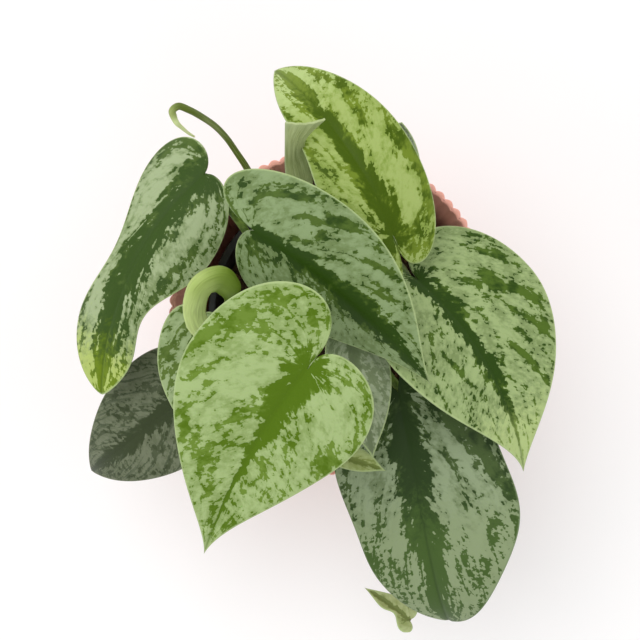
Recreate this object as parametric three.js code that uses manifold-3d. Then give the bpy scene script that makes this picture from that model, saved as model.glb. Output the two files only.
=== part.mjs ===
// Satin pothos (Scindapsus pictus) growing in a nursery pot that stands in a fluted outer pot.
// Millimetres, +Z up, origin at the centre of the outer pot's underside.
// Angles are in degrees. Headings are measured from +X towards +Y.
import * as THREE from 'three';
import { mergeVertices } from 'three/addons/utils/BufferGeometryUtils.js';
import Module from 'manifold-3d';

const wasm = await Module();
wasm.setup();

// ---- driving dimensions ----

const GAP = 0.3; // clearance kept between pieces that touch
const UPRIGHT = 0.2; // sideways share of a direction below which a tube counts as upright
const OVERRUN = 1; // how far a cutter passes the face that it cuts

const OUTER_POT = {
  height: 100,
  rimRadius: 56,
  baseRadius: 42,
  wall: 2.1,
  floor: 4,
  footHeight: 3,
  footBevel: 1,
  flutes: 84,
  fluteDepth: 1,
  innerFluteDepth: 0.5,
};

const NURSERY_POT = {
  height: 84,
  rimRadius: 43.5,
  mouthRadius: 42,
  baseRadius: 33,
  wall: 1.2,
  lipHeight: 4,
  sides: 40,
  drainHoles: 6,
  drainRadius: 3.5,
  drainCircle: 21,
};

const SOIL = {
  depthBelowRim: 12,
  mound: 3,
  lump: 0.7,
  lumpsRound: [5, 3], // lumps counted round the pot, in two sets that mix
  crownRings: [{ at: 0.72, rise: 0.5 }, { at: 0.4, rise: 0.9 }], // shares of the radius and of the mound
  side: 0.45, // clearance to the nursery pot's flat-sided wall
  holeDepth: 26,
  holeRadius: 2.9,
  holeSides: 10,
};

const STEM = {
  radius: 2.3,
  sides: 8,
  straightRise: 6, // upright stretch above the soil
  petioleRadius: 1.45,
  petioleSides: 7,
  petioleSteps: 7,
  petioleRoot: 6, // length of the stalk's foot inside the vine
  petioleLead: 5, // straight stretch before the blade
};

const BLADE = {
  thickness: 0.7,
  lobeShare: 0.4, // share of the margin that belongs to the lobe behind the stalk
  lobePull: [1.28, 1.1], // how far the lobe's two control points reach back, as shares of the lobe
  notch: 0.08, // opening of the notch behind the stalk, as a share of the half-width
  tipWidth: 0.1, // half-width where the tip begins, as a share of the half-width
  waistReach: 0.2, // length of a waist, as a share of the length
  waveTurns: 960, // run of the margin waves from the stalk to the tip
  midribSteps: 48,
};

// Each flat blade lies in its stalk's frame: x runs from the stalk along the midrib, +y is the blade's left.
// at: end of the stalk. left and right: half-widths. lobeLeft and lobeRight: how far the lobes reach back.
// belly: where the blade is widest, fullness: how long it stays wide, point: how slender the tip is (shares
// of the length). sweep, bend, tipBend, twist: turn of the midrib over the length. foldLeft, foldRight:
// rise of each half from the midrib. curl: how far each half then rolls down. wave: height of margin waves.
// waistLeft, waistRight: how much narrower each half is near waistAt. waistRightAt, waistRightReach, bellyRight,
// fullnessRight: the right half's own, where they differ. stalkDrop: extra room above the stalk.
const LEAVES = {
  leaf_front: {
    at: [-7.6, -16.4, 180], heading: -127.5, pitch: -18.5, roll: -5, twist: 0,
    length: 75, left: 26, right: 32, lobeLeft: 12, lobeRight: 23, belly: 0.16, fullness: 0.28, point: 0.25,
    sweep: 17, bend: 13, tipBend: 5, foldLeft: 11, foldRight: 15.5, curl: 30, wave: 0.8, notch: -0.1,
  },
  leaf_middle: {
    at: [-23.2, 23.4, 165], heading: -31, pitch: 6.5, roll: 2, twist: 0,
    length: 74, left: 21, right: 27, lobeLeft: 18, lobeRight: 6, belly: 0.22, fullness: 0.39, point: 0.22,
    sweep: -22.5, bend: 33, tipBend: 6.5, foldLeft: 3.5, foldRight: -44, curl: 12, wave: 0.5, stalkDrop: 1.7,
  },
  leaf_top: {
    at: [18.4, 23.5, 144], heading: 112.7, pitch: 17.7, roll: 6.6, twist: -10,
    length: 80.5, left: 16.6, right: 20, lobeLeft: 21.7, lobeRight: 15.6, belly: 0.24, fullness: 0.37, point: 0.11,
    sweep: 21, bend: 72.5, tipBend: 17, foldLeft: 19.6, foldRight: -4, curl: 30.7, wave: 0.4,
    waistLeft: 0.2, waistRight: -0.02, waistAt: 0.48, notch: -0.1, stalkDrop: 0.2,
  },
  leaf_right: {
    at: [27.6, 10, 128], heading: -41.5, pitch: 17.5, roll: -25.5, twist: 0,
    length: 73.5, left: 34, right: 31, lobeLeft: 14.5, lobeRight: 15, belly: 0.24, fullness: 0.35, point: 0.21,
    sweep: -23.5, bend: 44, tipBend: 11.5, foldLeft: -1, foldRight: 14, curl: 6, wave: 0.7,
  },
  leaf_lower: {
    at: [21.8, -26.7, 116], heading: -79.2, pitch: 6.4, roll: 13.7, twist: 8,
    length: 93, left: 29, right: 28.5, lobeLeft: 13.8, lobeRight: 5.5, belly: 0.34, fullness: 0.39, point: 0,
    sweep: -7.6, bend: 26.5, tipBend: 44, foldLeft: 11.3, foldRight: 9, curl: 24, wave: 0.5,
    waistLeft: -0.17, waistRight: 0.13, waistAt: 0.49,
  },
  leaf_hanging: {
    at: [-41.86, 44.29, 124], heading: -137.7, pitch: 7.1, roll: 23.4, twist: 23.5,
    length: 83.5, left: 22.9, right: 35.6, lobeLeft: 4.5, lobeRight: 9.1, belly: 0.384, fullness: 0.397, point: 0,
    sweep: 31.6, bend: 40.6, tipBend: 5.3, foldLeft: 3, foldRight: 11, curl: 65, wave: 0.3,
    waistLeft: 0.46, waistRight: 0.71, waistAt: 0.628, waistRightAt: 0.423, waistRightReach: 0.38,
    bellyRight: 0.325, fullnessRight: 0.473,
  },
  leaf_grey: {
    at: [-48, -26.8, 109], heading: -139.5, pitch: -11.5, roll: 1, twist: 0,
    length: 66, left: 20, right: 21, lobeLeft: 14, lobeRight: 11.5, belly: 0.18, fullness: 0.35, point: 0.16,
    sweep: -6, bend: 45, tipBend: 14, foldLeft: 8, foldRight: 7.5, curl: 33, wave: 0.5,
  },
  leaf_small_left: {
    at: [-43, -3.3, 129], heading: -98.5, pitch: -2, roll: 0, twist: 0,
    length: 39.5, left: 9, right: 12, lobeLeft: 5, lobeRight: 6.5, belly: 0.24, fullness: 0.37, point: 0.18,
    sweep: 0, bend: 26, tipBend: 6, foldLeft: 8, foldRight: 8, curl: 22, wave: 0.3,
  },
  leaf_shaded: {
    at: [4.9, -7.7, 140], heading: -79, pitch: -4, roll: 0, twist: 0,
    length: 42, left: 11, right: 9, lobeLeft: 6, lobeRight: 5, belly: 0.26, fullness: 0.37, point: 0.14,
    sweep: 1, bend: 18, tipBend: 5, foldLeft: 8, foldRight: 8, curl: 21, wave: 0.3,
  },
  leaf_pale: {
    at: [-2.1, -45.3, 128], heading: -14, pitch: -1, roll: 0, twist: 0,
    length: 21.5, left: 5, right: 3.5, lobeLeft: 3, lobeRight: 3, belly: 0.33, fullness: 0.36, point: 0.18,
    sweep: -9, bend: 21, tipBend: 5, foldLeft: 25, foldRight: 15, curl: 20, wave: 0,
  },
  leaf_trailing: {
    at: [27.8, -110.9, 74], heading: 139.6, pitch: 0, roll: 1.4, twist: 1.2,
    length: 19.3, left: 5.8, right: 5.9, lobeLeft: 4.5, lobeRight: 1.8, belly: 0.13, fullness: 0.07, point: 0.14,
    sweep: 13, bend: 18.5, tipBend: 4.7, foldLeft: 20, foldRight: 10, curl: 19.5, wave: 0,
    waistLeft: 0.62, waistRight: 0, waistAt: 0.28,
  },
  leaf_hidden: {
    at: [11, 33.4, 128], heading: 66, pitch: -2, roll: 0, twist: 0,
    length: 33, left: 12, right: 12.5, lobeLeft: 5, lobeRight: 5, belly: 0.3, fullness: 0.45, point: 0.05,
    sweep: 3.5, bend: 26, tipBend: 6, foldLeft: 8, foldRight: 8, curl: 20, wave: 0.3,
  },
};

const LARGE_LENGTH = 60; // a longer blade takes the fine grid
const LARGE_GRID = { ribs: 16, rows: 4 };
const SMALL_GRID = { ribs: 10, rows: 3 };

// Young leaf that is half unrolled: a standing strap between two margins, from the stalk up to its slanted
// end. arch: how far it bulges between the margins.
const HALF_OPEN_LEAF = {
  leftMargin: [
    [-13.6, 35.6, 118.2], [-14.6, 40.8, 127], [-15, 46.2, 135.5], [-14.7, 51.6, 147], [-14.5, 56.7, 156],
  ],
  rightMargin: [
    [-10.7, 35.5, 118], [-7, 40, 125], [-7.7, 44.8, 134], [-9.4, 48.7, 141],
    [-10.9, 50.8, 145.8], [-9.9, 52.5, 149.5], [-7.7, 54, 152], [-2.6, 57.5, 157],
  ],
  arch: 1.2,
  rows: 6,
  steps: 12,
};

// Young leaves still rolled up. path: centre line from the stalk end. width and depth: half-sizes of the
// oval section at even steps along the path.
const ROLLED_LEAVES = {
  leaf_rolled: {
    path: [
      [-31, -10.6, 136], [-38.6, -7.6, 142], [-42.2, -2, 148], [-42, 3.5, 151], [-39.6, 8, 153],
      [-35.6, 9.8, 152], [-32.3, 7.6, 148], [-31.6, 3.6, 144], [-33.2, 0, 140],
    ],
    width: [2, 3, 4, 4.4, 5, 5.4, 4, 2.2, 0.7],
    depth: [1.8, 2.2, 2.6, 3, 3.2, 3.2, 3, 2, 0.7],
    sides: 10,
    steps: 20,
  },
  shoot_curled: {
    path: [
      [-24.7, 39, 128], [-26.5, 44, 140], [-29.9, 49.1, 146], [-32.7, 52.9, 150], [-35.9, 56, 153],
      [-40.2, 58.7, 155.5], [-43.3, 60.2, 157], [-46.5, 61.2, 157.5], [-48.3, 59.9, 157], [-48, 58.2, 156],
      [-47.2, 56.6, 155], [-45.7, 55.3, 153], [-44.1, 54.1, 151], [-42.5, 53.3, 149],
    ],
    width: [1.4, 1.1, 1, 1, 1, 1.05, 1.1, 1.15, 1.1, 0.9, 0.65, 0.5, 0.35],
    depth: [1.4, 1.1, 1, 1, 1, 1.05, 1.1, 1.1, 1, 0.8, 0.6, 0.5, 0.35],
    sides: 7,
    steps: 22,
  },
};

// Vines rooted in the soil. crown: top of the vine. stalks: the leaf that each stalk carries, and the
// points that it passes on its way there.
const VINES = {
  vine_back_left: {
    root: [-22, 14],
    crown: [-22, 16, 98],
    stalks: {
      leaf_hanging: [[-31, 30, 115]],
      leaf_middle: [[-25, 24, 130]],
      leaf_half_open: [[-17, 26, 108]],
      shoot_curled: [[-23, 29, 113]],
    },
  },
  vine_back_right: {
    root: [15, 18],
    crown: [16, 19, 98],
    stalks: {
      leaf_top: [[17, 20, 122]],
      leaf_right: [[22, 16, 112]],
      leaf_hidden: [[14, 26, 114]],
    },
  },
  vine_front_left: {
    root: [-20, -14],
    crown: [-20, -13, 97],
    stalks: {
      leaf_front: [[-18, -11, 125], [-13, -11, 158]],
      leaf_grey: [[-33, -18, 104]],
      leaf_small_left: [[-31, -4, 113]],
      leaf_rolled: [[-25, -13, 118]],
    },
  },
  vine_front_right: {
    root: [9, -6],
    crown: [8, -6, 95],
    stalks: {
      leaf_lower: [[13, -13, 105]],
      leaf_shaded: [[8, -1, 120]],
      leaf_pale: [[1, -22, 108], [-7, -38, 121]],
      leaf_trailing: [[8, -30, 101], [14, -56, 105], [24, -84, 89], [28, -103, 71]],
    },
  },
};

const COLOURS = {
  outer_pot: { color: 0xf0a091, roughness: 0.5 },
  nursery_pot: { color: 0x1c1c1e, roughness: 0.45 },
  soil: { color: 0x2c211a, roughness: 0.95 },
  stem: { color: 0x6f8c35, roughness: 0.5 },
  satin: { color: 0x86a56c, roughness: 0.55 },
  young: { color: 0xa9c46a, roughness: 0.5 },
};

// ---- small helpers ----

const rad = THREE.MathUtils.degToRad;
const lerp = THREE.MathUtils.lerp;
const clamp = THREE.MathUtils.clamp;
const vec = (p) => new THREE.Vector3(...p);

// Faces of the skin between rings of points that follow each other in a list.
function skinFaces(rings, sides) {
  const faces = [];
  for (let i = 0; i < rings - 1; i += 1) {
    for (let j = 0; j < sides; j += 1) {
      const next = (j + 1) % sides;
      const [a, b, c, d] = [i * sides + j, i * sides + next, (i + 1) * sides + next, (i + 1) * sides + j];
      faces.push([a, b, c], [a, c, d]);
    }
  }
  return faces;
}

// Closed solid of upright rings: the skin between them, and a fan that closes each end.
function ringGeometry(rings, firstCentre, lastCentre) {
  const sides = rings[0].length;
  const lastRing = (rings.length - 1) * sides;
  const points = [...rings.flat(), vec(firstCentre), vec(lastCentre)];
  const faces = skinFaces(rings.length, sides);
  for (let j = 0; j < sides; j += 1) {
    const next = (j + 1) % sides;
    faces.push([points.length - 2, next, j], [points.length - 1, lastRing + j, lastRing + next]);
  }
  return geometryFrom(points, faces);
}

function geometryFrom(points, faces) {
  const geometry = new THREE.BufferGeometry();
  geometry.setAttribute('position', new THREE.Float32BufferAttribute(points.flatMap((p) => [p.x, p.y, p.z]), 3));
  geometry.setIndex(faces.flat());
  return geometry;
}

function toSolid(geometry) {
  const bare = geometry.clone();
  bare.deleteAttribute('normal');
  bare.deleteAttribute('uv');
  const merged = mergeVertices(bare);
  return new wasm.Manifold(new wasm.Mesh({
    numProp: 3,
    vertProperties: new Float32Array(merged.attributes.position.array),
    triVerts: new Uint32Array(merged.index.array),
  }));
}

function fromSolid(solid) {
  const mesh = solid.getMesh();
  const geometry = new THREE.BufferGeometry();
  geometry.setAttribute('position', new THREE.BufferAttribute(mesh.vertProperties, 3));
  geometry.setIndex(new THREE.BufferAttribute(mesh.triVerts, 1));
  return geometry;
}

function namedMesh(name, geometry, look) {
  geometry.computeVertexNormals();
  const mesh = new THREE.Mesh(geometry, new THREE.MeshStandardMaterial({ ...look, metalness: 0 }));
  mesh.name = name;
  return mesh;
}

// Value of a list of evenly spaced samples at a share t of its length.
function sampleList(list, t) {
  const place = clamp(t, 0, 1) * (list.length - 1);
  const low = Math.min(Math.floor(place), list.length - 2);
  return lerp(list[low], list[low + 1], place - low);
}

// ---- leaf blades ----

// Outline of one half of the flat blade: from the stalk round the lobe (t = 0) to the tip (t = 1).
// side is 1 for the left half and -1 for the right one.
function halfOutline(leaf, side, t) {
  const own = side > 0 ? {} : {
    belly: leaf.bellyRight,
    fullness: leaf.fullnessRight,
    waistAt: leaf.waistRightAt,
    reach: leaf.waistRightReach,
  };
  const [halfWidth, lobe, waist] = side > 0
    ? [leaf.left, leaf.lobeLeft, leaf.waistLeft ?? 0]
    : [leaf.right, leaf.lobeRight, leaf.waistRight ?? 0];
  const belly = (own.belly ?? leaf.belly) * leaf.length;
  const full = (own.fullness ?? leaf.fullness) * leaf.length;
  const [firstPull, secondPull] = BLADE.lobePull;
  const widest = new THREE.Vector2(belly, halfWidth);
  const lobeArc = new THREE.CubicBezierCurve(
    new THREE.Vector2(0, 0),
    new THREE.Vector2(-firstPull * lobe, (leaf.notch ?? BLADE.notch) * halfWidth),
    new THREE.Vector2(-secondPull * lobe, halfWidth),
    widest,
  );
  const sideArc = new THREE.CubicBezierCurve(
    widest,
    new THREE.Vector2(belly + full, halfWidth),
    new THREE.Vector2(leaf.length * (1 - leaf.point), BLADE.tipWidth * halfWidth),
    new THREE.Vector2(leaf.length, 0),
  );
  const edge = t < BLADE.lobeShare
    ? lobeArc.getPoint(t / BLADE.lobeShare)
    : sideArc.getPoint((t - BLADE.lobeShare) / (1 - BLADE.lobeShare));
  const waistAt = own.waistAt ?? leaf.waistAt ?? 0;
  const fromWaist = (edge.x / leaf.length - waistAt) / (own.reach ?? BLADE.waistReach);
  edge.y *= 1 - waist * Math.exp(-(fromWaist ** 2));
  return edge;
}

// Point and directions of the curved midrib, in the stalk's frame, at x along the flat midrib.
function midribFrame(leaf, x) {
  const point = new THREE.Vector3();
  const step = x / BLADE.midribSteps;
  const direction = (share) => {
    const turn = rad(leaf.sweep) * share;
    const fall = rad(leaf.bend) * share + rad(leaf.tipBend) * Math.max(share, 0) ** 3;
    return [Math.cos(fall) * Math.cos(turn), Math.cos(fall) * Math.sin(turn), -Math.sin(fall)];
  };
  for (let i = 0; i < BLADE.midribSteps; i += 1) {
    point.addScaledVector(vec(direction(((i + 0.5) * step) / leaf.length)), step);
  }
  const share = x / leaf.length;
  const turn = rad(leaf.sweep) * share;
  const along = vec(direction(share));
  const aside = new THREE.Vector3(-Math.sin(turn), Math.cos(turn), 0);
  aside.applyAxisAngle(along, rad(leaf.twist) * share);
  const up = new THREE.Vector3().crossVectors(along, aside);
  return { point, along, aside, up };
}

// Where a point of the flat blade goes. y is the distance from the midrib, side is 1 left and -1 right.
function bladePoint(leaf, side, x, y, t) {
  const halfWidth = side > 0 ? leaf.left : leaf.right;
  const fold = rad(side > 0 ? leaf.foldLeft : leaf.foldRight);
  const curl = rad(leaf.curl);
  const share = y / halfWidth;
  const out = (halfWidth * (Math.sin(fold) - Math.sin(fold - curl * share))) / curl;
  const rise = (halfWidth * (Math.cos(fold - curl * share) - Math.cos(fold))) / curl;
  const wave = leaf.wave * Math.sin(rad(BLADE.waveTurns) * t + side) * share ** 2 * Math.sin(Math.PI * t);
  const { point, aside, up } = midribFrame(leaf, x);
  return point.addScaledVector(aside, side * out).addScaledVector(up, rise + wave);
}

function stalkFrame(leaf) {
  const turn = new THREE.Matrix4().makeRotationZ(rad(leaf.heading));
  turn.multiply(new THREE.Matrix4().makeRotationY(-rad(leaf.pitch)));
  turn.multiply(new THREE.Matrix4().makeRotationX(rad(leaf.roll)));
  return turn.setPosition(...leaf.at);
}

// The middle surface of a blade as a grid of ribs that fan out from the midrib to the margin.
function bladeSheet(leaf, grid) {
  const frame = stalkFrame(leaf);
  const points = [];
  const index = new Map();
  const vertex = (side, rib, row) => {
    const t = rib / grid.ribs;
    const rootShare = Math.max(0, (t - BLADE.lobeShare) / (1 - BLADE.lobeShare));
    const atTip = rib === grid.ribs;
    const onMidrib = row === 0 || rib === 0 || atTip;
    const rootX = rib === 0 ? 0 : leaf.length * rootShare;
    const key = onMidrib ? `m${rootX.toFixed(4)}` : `${side}/${rib}/${row}`;
    if (!index.has(key)) {
      const edge = halfOutline(leaf, side, t);
      const share = onMidrib ? 0 : row / grid.rows;
      const x = lerp(rootX, edge.x, share);
      const y = lerp(0, edge.y, share);
      index.set(key, points.length);
      points.push(bladePoint(leaf, side, x, y, t).applyMatrix4(frame));
    }
    return index.get(key);
  };
  const faces = [];
  const addFace = (side, a, b, c) => {
    if (a !== b && b !== c && a !== c) faces.push(side > 0 ? [a, b, c] : [a, c, b]);
  };
  for (const side of [1, -1]) {
    for (let rib = 0; rib < grid.ribs; rib += 1) {
      for (let row = 0; row < grid.rows; row += 1) {
        const corners = [[rib, row], [rib + 1, row], [rib + 1, row + 1], [rib, row + 1]];
        const [a, b, c, d] = corners.map(([i, j]) => vertex(side, i, j));
        addFace(side, a, b, c);
        addFace(side, a, c, d);
      }
    }
  }
  const margin = [];
  for (let rib = 0; rib <= grid.ribs; rib += 1) margin.push(vertex(1, rib, grid.rows));
  for (let rib = grid.ribs - 1; rib > 0; rib -= 1) margin.push(vertex(-1, rib, grid.rows));
  return { points, faces, margin };
}

// Gives a sheet its thickness: both faces have the same triangles, and a strip closes the margin.
function thicken({ points, faces, margin }) {
  const sheet = geometryFrom(points, faces);
  sheet.computeVertexNormals();
  const normals = sheet.attributes.normal;
  const offset = (distance) => points.map((p, i) => (
    p.clone().addScaledVector(new THREE.Vector3().fromBufferAttribute(normals, i), distance)
  ));
  const count = points.length;
  const solid = [...faces, ...faces.map(([a, b, c]) => [a + count, c + count, b + count])];
  margin.forEach((a, i) => {
    const b = margin[(i + 1) % margin.length];
    solid.push([a, b, a + count], [b, b + count, a + count]);
  });
  return geometryFrom([...offset(BLADE.thickness / 2), ...offset(-BLADE.thickness / 2)], solid);
}

// The middle surface of a strap between two margins, bulging up between them.
function strapSheet({ leftMargin, rightMargin, arch, rows, steps }) {
  const [left, right] = [leftMargin, rightMargin].map((margin) => new THREE.CatmullRomCurve3(margin.map(vec)));
  const points = [];
  const faces = [];
  for (let i = 0; i <= steps; i += 1) {
    const [a, b] = [left.getPoint(i / steps), right.getPoint(i / steps)];
    const up = new THREE.Vector3().crossVectors(b.clone().sub(a), left.getTangent(i / steps)).normalize();
    for (let j = 0; j <= rows; j += 1) {
      points.push(a.clone().lerp(b, j / rows).addScaledVector(up, arch * Math.sin((Math.PI * j) / rows)));
    }
  }
  const at = (i, j) => i * (rows + 1) + j;
  for (let i = 0; i < steps; i += 1) {
    for (let j = 0; j < rows; j += 1) {
      faces.push([at(i, j), at(i, j + 1), at(i + 1, j + 1)], [at(i, j), at(i + 1, j + 1), at(i + 1, j)]);
    }
  }
  const run = (length, place) => Array.from({ length }, (_, k) => place(k));
  const margin = [
    ...run(steps, (k) => at(k, 0)),
    ...run(rows, (k) => at(steps, k)),
    ...run(steps, (k) => at(steps - k, rows)),
    ...run(rows, (k) => at(0, rows - k)),
  ];
  return { points, faces, margin };
}

// ---- tubes ----

// A closed tube of oval section along a curve. width lies across the curve, depth up from it.
function tubeGeometry(path, width, depth, sides, steps) {
  const curve = new THREE.CatmullRomCurve3(path.map(vec), false, 'centripetal');
  const points = [];
  let across = new THREE.Vector3(0, 0, 1).cross(curve.getTangent(0));
  if (across.length() < UPRIGHT) across.set(0, 1, 0);
  for (let i = 0; i <= steps; i += 1) {
    const t = i / steps;
    const along = curve.getTangent(t);
    across = across.addScaledVector(along, -across.dot(along)).normalize();
    const up = new THREE.Vector3().crossVectors(along, across);
    const centre = curve.getPoint(t);
    for (let j = 0; j < sides; j += 1) {
      const turn = (2 * Math.PI * j) / sides;
      const p = centre.clone().addScaledVector(across, sampleList(width, t) * Math.cos(turn));
      points.push(p.addScaledVector(up, sampleList(depth, t) * Math.sin(turn)));
    }
  }
  const faces = skinFaces(steps + 1, sides);
  const end = steps * sides;
  for (let j = 1; j < sides - 1; j += 1) {
    faces.push([0, j + 1, j], [end, end + j, end + j + 1]);
  }
  return geometryFrom(points, faces);
}

// ---- vines with their leaf stalks ----

// Centre line of a young leaf, from the end of its stalk.
function centreLine(name) {
  if (name in ROLLED_LEAVES) return ROLLED_LEAVES[name].path;
  const { leftMargin, rightMargin } = HALF_OPEN_LEAF;
  return [0, 1].map((i) => leftMargin[i].map((value, axis) => (value + rightMargin[i][axis]) / 2));
}

// Where a stalk ends, just clear of what it carries, and the point before it that sets its direction.
function stalkEnd(name) {
  if (name in LEAVES) {
    const below = BLADE.thickness / 2 + GAP + (LEAVES[name].stalkDrop ?? 0);
    const frame = stalkFrame(LEAVES[name]);
    return [below + STEM.petioleLead, below].map((drop) => new THREE.Vector3(0, 0, -drop).applyMatrix4(frame));
  }
  const [first, second] = centreLine(name).map(vec);
  const along = second.clone().sub(first).normalize();
  return [GAP + STEM.petioleLead, GAP].map((back) => first.clone().addScaledVector(along, -back));
}

function stalkSolid(vine, name) {
  const foot = vec(vine.crown).add(new THREE.Vector3(0, 0, -STEM.petioleRoot));
  const path = [foot, vec(vine.crown), ...vine.stalks[name].map(vec), ...stalkEnd(name)];
  const radius = [STEM.petioleRadius, STEM.petioleRadius];
  const steps = STEM.petioleSteps + 2 * vine.stalks[name].length;
  return toSolid(tubeGeometry(path.map((p) => p.toArray()), radius, radius, STEM.petioleSides, steps));
}

const soilTop = NURSERY_POT.height + OUTER_POT.floor + GAP - SOIL.depthBelowRim;

function vineGeometry(vine) {
  const [x, y] = vine.root;
  const bottom = soilTop - SOIL.holeDepth + OVERRUN;
  const trunkPath = [[x, y, bottom], [x, y, soilTop], [x, y, soilTop + STEM.straightRise], vine.crown];
  const radius = [STEM.radius, STEM.radius];
  let solid = toSolid(tubeGeometry(trunkPath, radius, radius, STEM.sides, trunkPath.length + 1));
  for (const name of Object.keys(vine.stalks)) {
    solid = solid.add(stalkSolid(vine, name));
  }
  return fromSolid(solid);
}

// ---- pots and soil ----

function ringPoint(share, radius, z) {
  const turn = 2 * Math.PI * share;
  return new THREE.Vector3(radius * Math.cos(turn), radius * Math.sin(turn), z);
}

function outerPotGeometry() {
  const pot = OUTER_POT;
  const innerRim = pot.rimRadius - pot.wall;
  const slope = (pot.rimRadius - pot.baseRadius) / pot.height;
  const rings = [
    { radius: pot.baseRadius - pot.footBevel, z: 0, depth: 0 },
    { radius: pot.baseRadius + slope * pot.footHeight, z: pot.footHeight, depth: pot.fluteDepth },
    { radius: pot.rimRadius, z: pot.height, depth: pot.fluteDepth },
    { radius: innerRim, z: pot.height, depth: pot.innerFluteDepth },
    { radius: pot.baseRadius - pot.wall, z: pot.floor, depth: 0 },
  ];
  const sides = pot.flutes * 2;
  const points = rings.map(({ radius, z, depth }) => (
    Array.from({ length: sides }, (_, j) => ringPoint(j / sides, j % 2 === 0 ? radius : radius - depth, z))
  ));
  return ringGeometry(points, [0, 0, 0], [0, 0, pot.floor]);
}

function latheSolid(profile, sides) {
  const geometry = new THREE.LatheGeometry(profile.map(([r, z]) => new THREE.Vector2(r, z)), sides);
  return toSolid(geometry.rotateX(Math.PI / 2));
}

function verticalCylinder(radius, bottom, top, x, y) {
  const geometry = new THREE.CylinderGeometry(radius, radius, top - bottom, SOIL.holeSides);
  return toSolid(geometry.rotateX(Math.PI / 2).translate(x, y, (bottom + top) / 2));
}

const potBottom = OUTER_POT.floor + GAP;
const potTop = potBottom + NURSERY_POT.height;

function nurseryInnerRadius(z) {
  const pot = NURSERY_POT;
  return lerp(pot.baseRadius, pot.mouthRadius, (z - potBottom) / pot.height) - pot.wall;
}

function nurseryPotGeometry() {
  const pot = NURSERY_POT;
  const lipBottom = potTop - pot.lipHeight;
  const floorTop = potBottom + pot.wall;
  const profile = [
    [0, potBottom],
    [pot.baseRadius, potBottom],
    [nurseryInnerRadius(lipBottom) + pot.wall, lipBottom],
    [pot.rimRadius, lipBottom],
    [pot.rimRadius, potTop],
    [nurseryInnerRadius(potTop), potTop],
    [nurseryInnerRadius(floorTop), floorTop],
    [0, floorTop],
  ];
  let solid = latheSolid(profile, pot.sides);
  for (let i = 0; i < pot.drainHoles; i += 1) {
    const { x, y } = ringPoint(i / pot.drainHoles, pot.drainCircle, 0);
    solid = solid.subtract(verticalCylinder(pot.drainRadius, potBottom - OVERRUN, floorTop + OVERRUN, x, y));
  }
  return fromSolid(solid);
}

// Soil: fills the pot and rises to an uneven crown, with a plain hole for each vine.
function soilGeometry() {
  const bottom = potBottom + NURSERY_POT.wall + GAP;
  const sides = NURSERY_POT.sides;
  const edge = nurseryInnerRadius(soilTop) - SOIL.side;
  const ring = (radius, heightAt) => (
    Array.from({ length: sides }, (_, j) => ringPoint(j / sides, radius, heightAt(2 * Math.PI * (j / sides))))
  );
  const lumpy = (turn, wave) => (
    SOIL.lump * Math.sin(SOIL.lumpsRound[0] * turn + wave) * Math.cos(SOIL.lumpsRound[1] * turn)
  );
  const rings = [
    ring(nurseryInnerRadius(bottom) - SOIL.side, () => bottom),
    ring(edge, () => soilTop),
    ...SOIL.crownRings.map(({ at, rise }, wave) => (
      ring(edge * at, (turn) => soilTop + SOIL.mound * rise + lumpy(turn, wave))
    )),
  ];
  let solid = toSolid(ringGeometry(rings, [0, 0, bottom], [0, 0, soilTop + SOIL.mound]));
  const [holeBottom, holeTop] = [soilTop - SOIL.holeDepth, soilTop + SOIL.holeDepth];
  for (const { root: [x, y] } of Object.values(VINES)) {
    solid = solid.subtract(verticalCylinder(SOIL.holeRadius, holeBottom, holeTop, x, y));
  }
  return fromSolid(solid);
}

// ---- the plant in its pots ----

const plant = new THREE.Group();
plant.add(namedMesh('outer_pot', outerPotGeometry(), COLOURS.outer_pot));
plant.add(namedMesh('nursery_pot', nurseryPotGeometry(), COLOURS.nursery_pot));
plant.add(namedMesh('soil', soilGeometry(), COLOURS.soil));
for (const [name, vine] of Object.entries(VINES)) {
  plant.add(namedMesh(name, vineGeometry(vine), COLOURS.stem));
}
for (const [name, leaf] of Object.entries(LEAVES)) {
  const grid = leaf.length > LARGE_LENGTH ? LARGE_GRID : SMALL_GRID;
  plant.add(namedMesh(name, thicken(bladeSheet(leaf, grid)), COLOURS.satin));
}
plant.add(namedMesh('leaf_half_open', thicken(strapSheet(HALF_OPEN_LEAF)), COLOURS.young));
for (const [name, leaf] of Object.entries(ROLLED_LEAVES)) {
  const geometry = tubeGeometry(leaf.path, leaf.width, leaf.depth, leaf.sides, leaf.steps);
  plant.add(namedMesh(name, geometry, COLOURS.young));
}

export default plant;
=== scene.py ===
import itertools
import math
import random

import bpy
import numpy as np
from mathutils import Matrix, Vector


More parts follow.
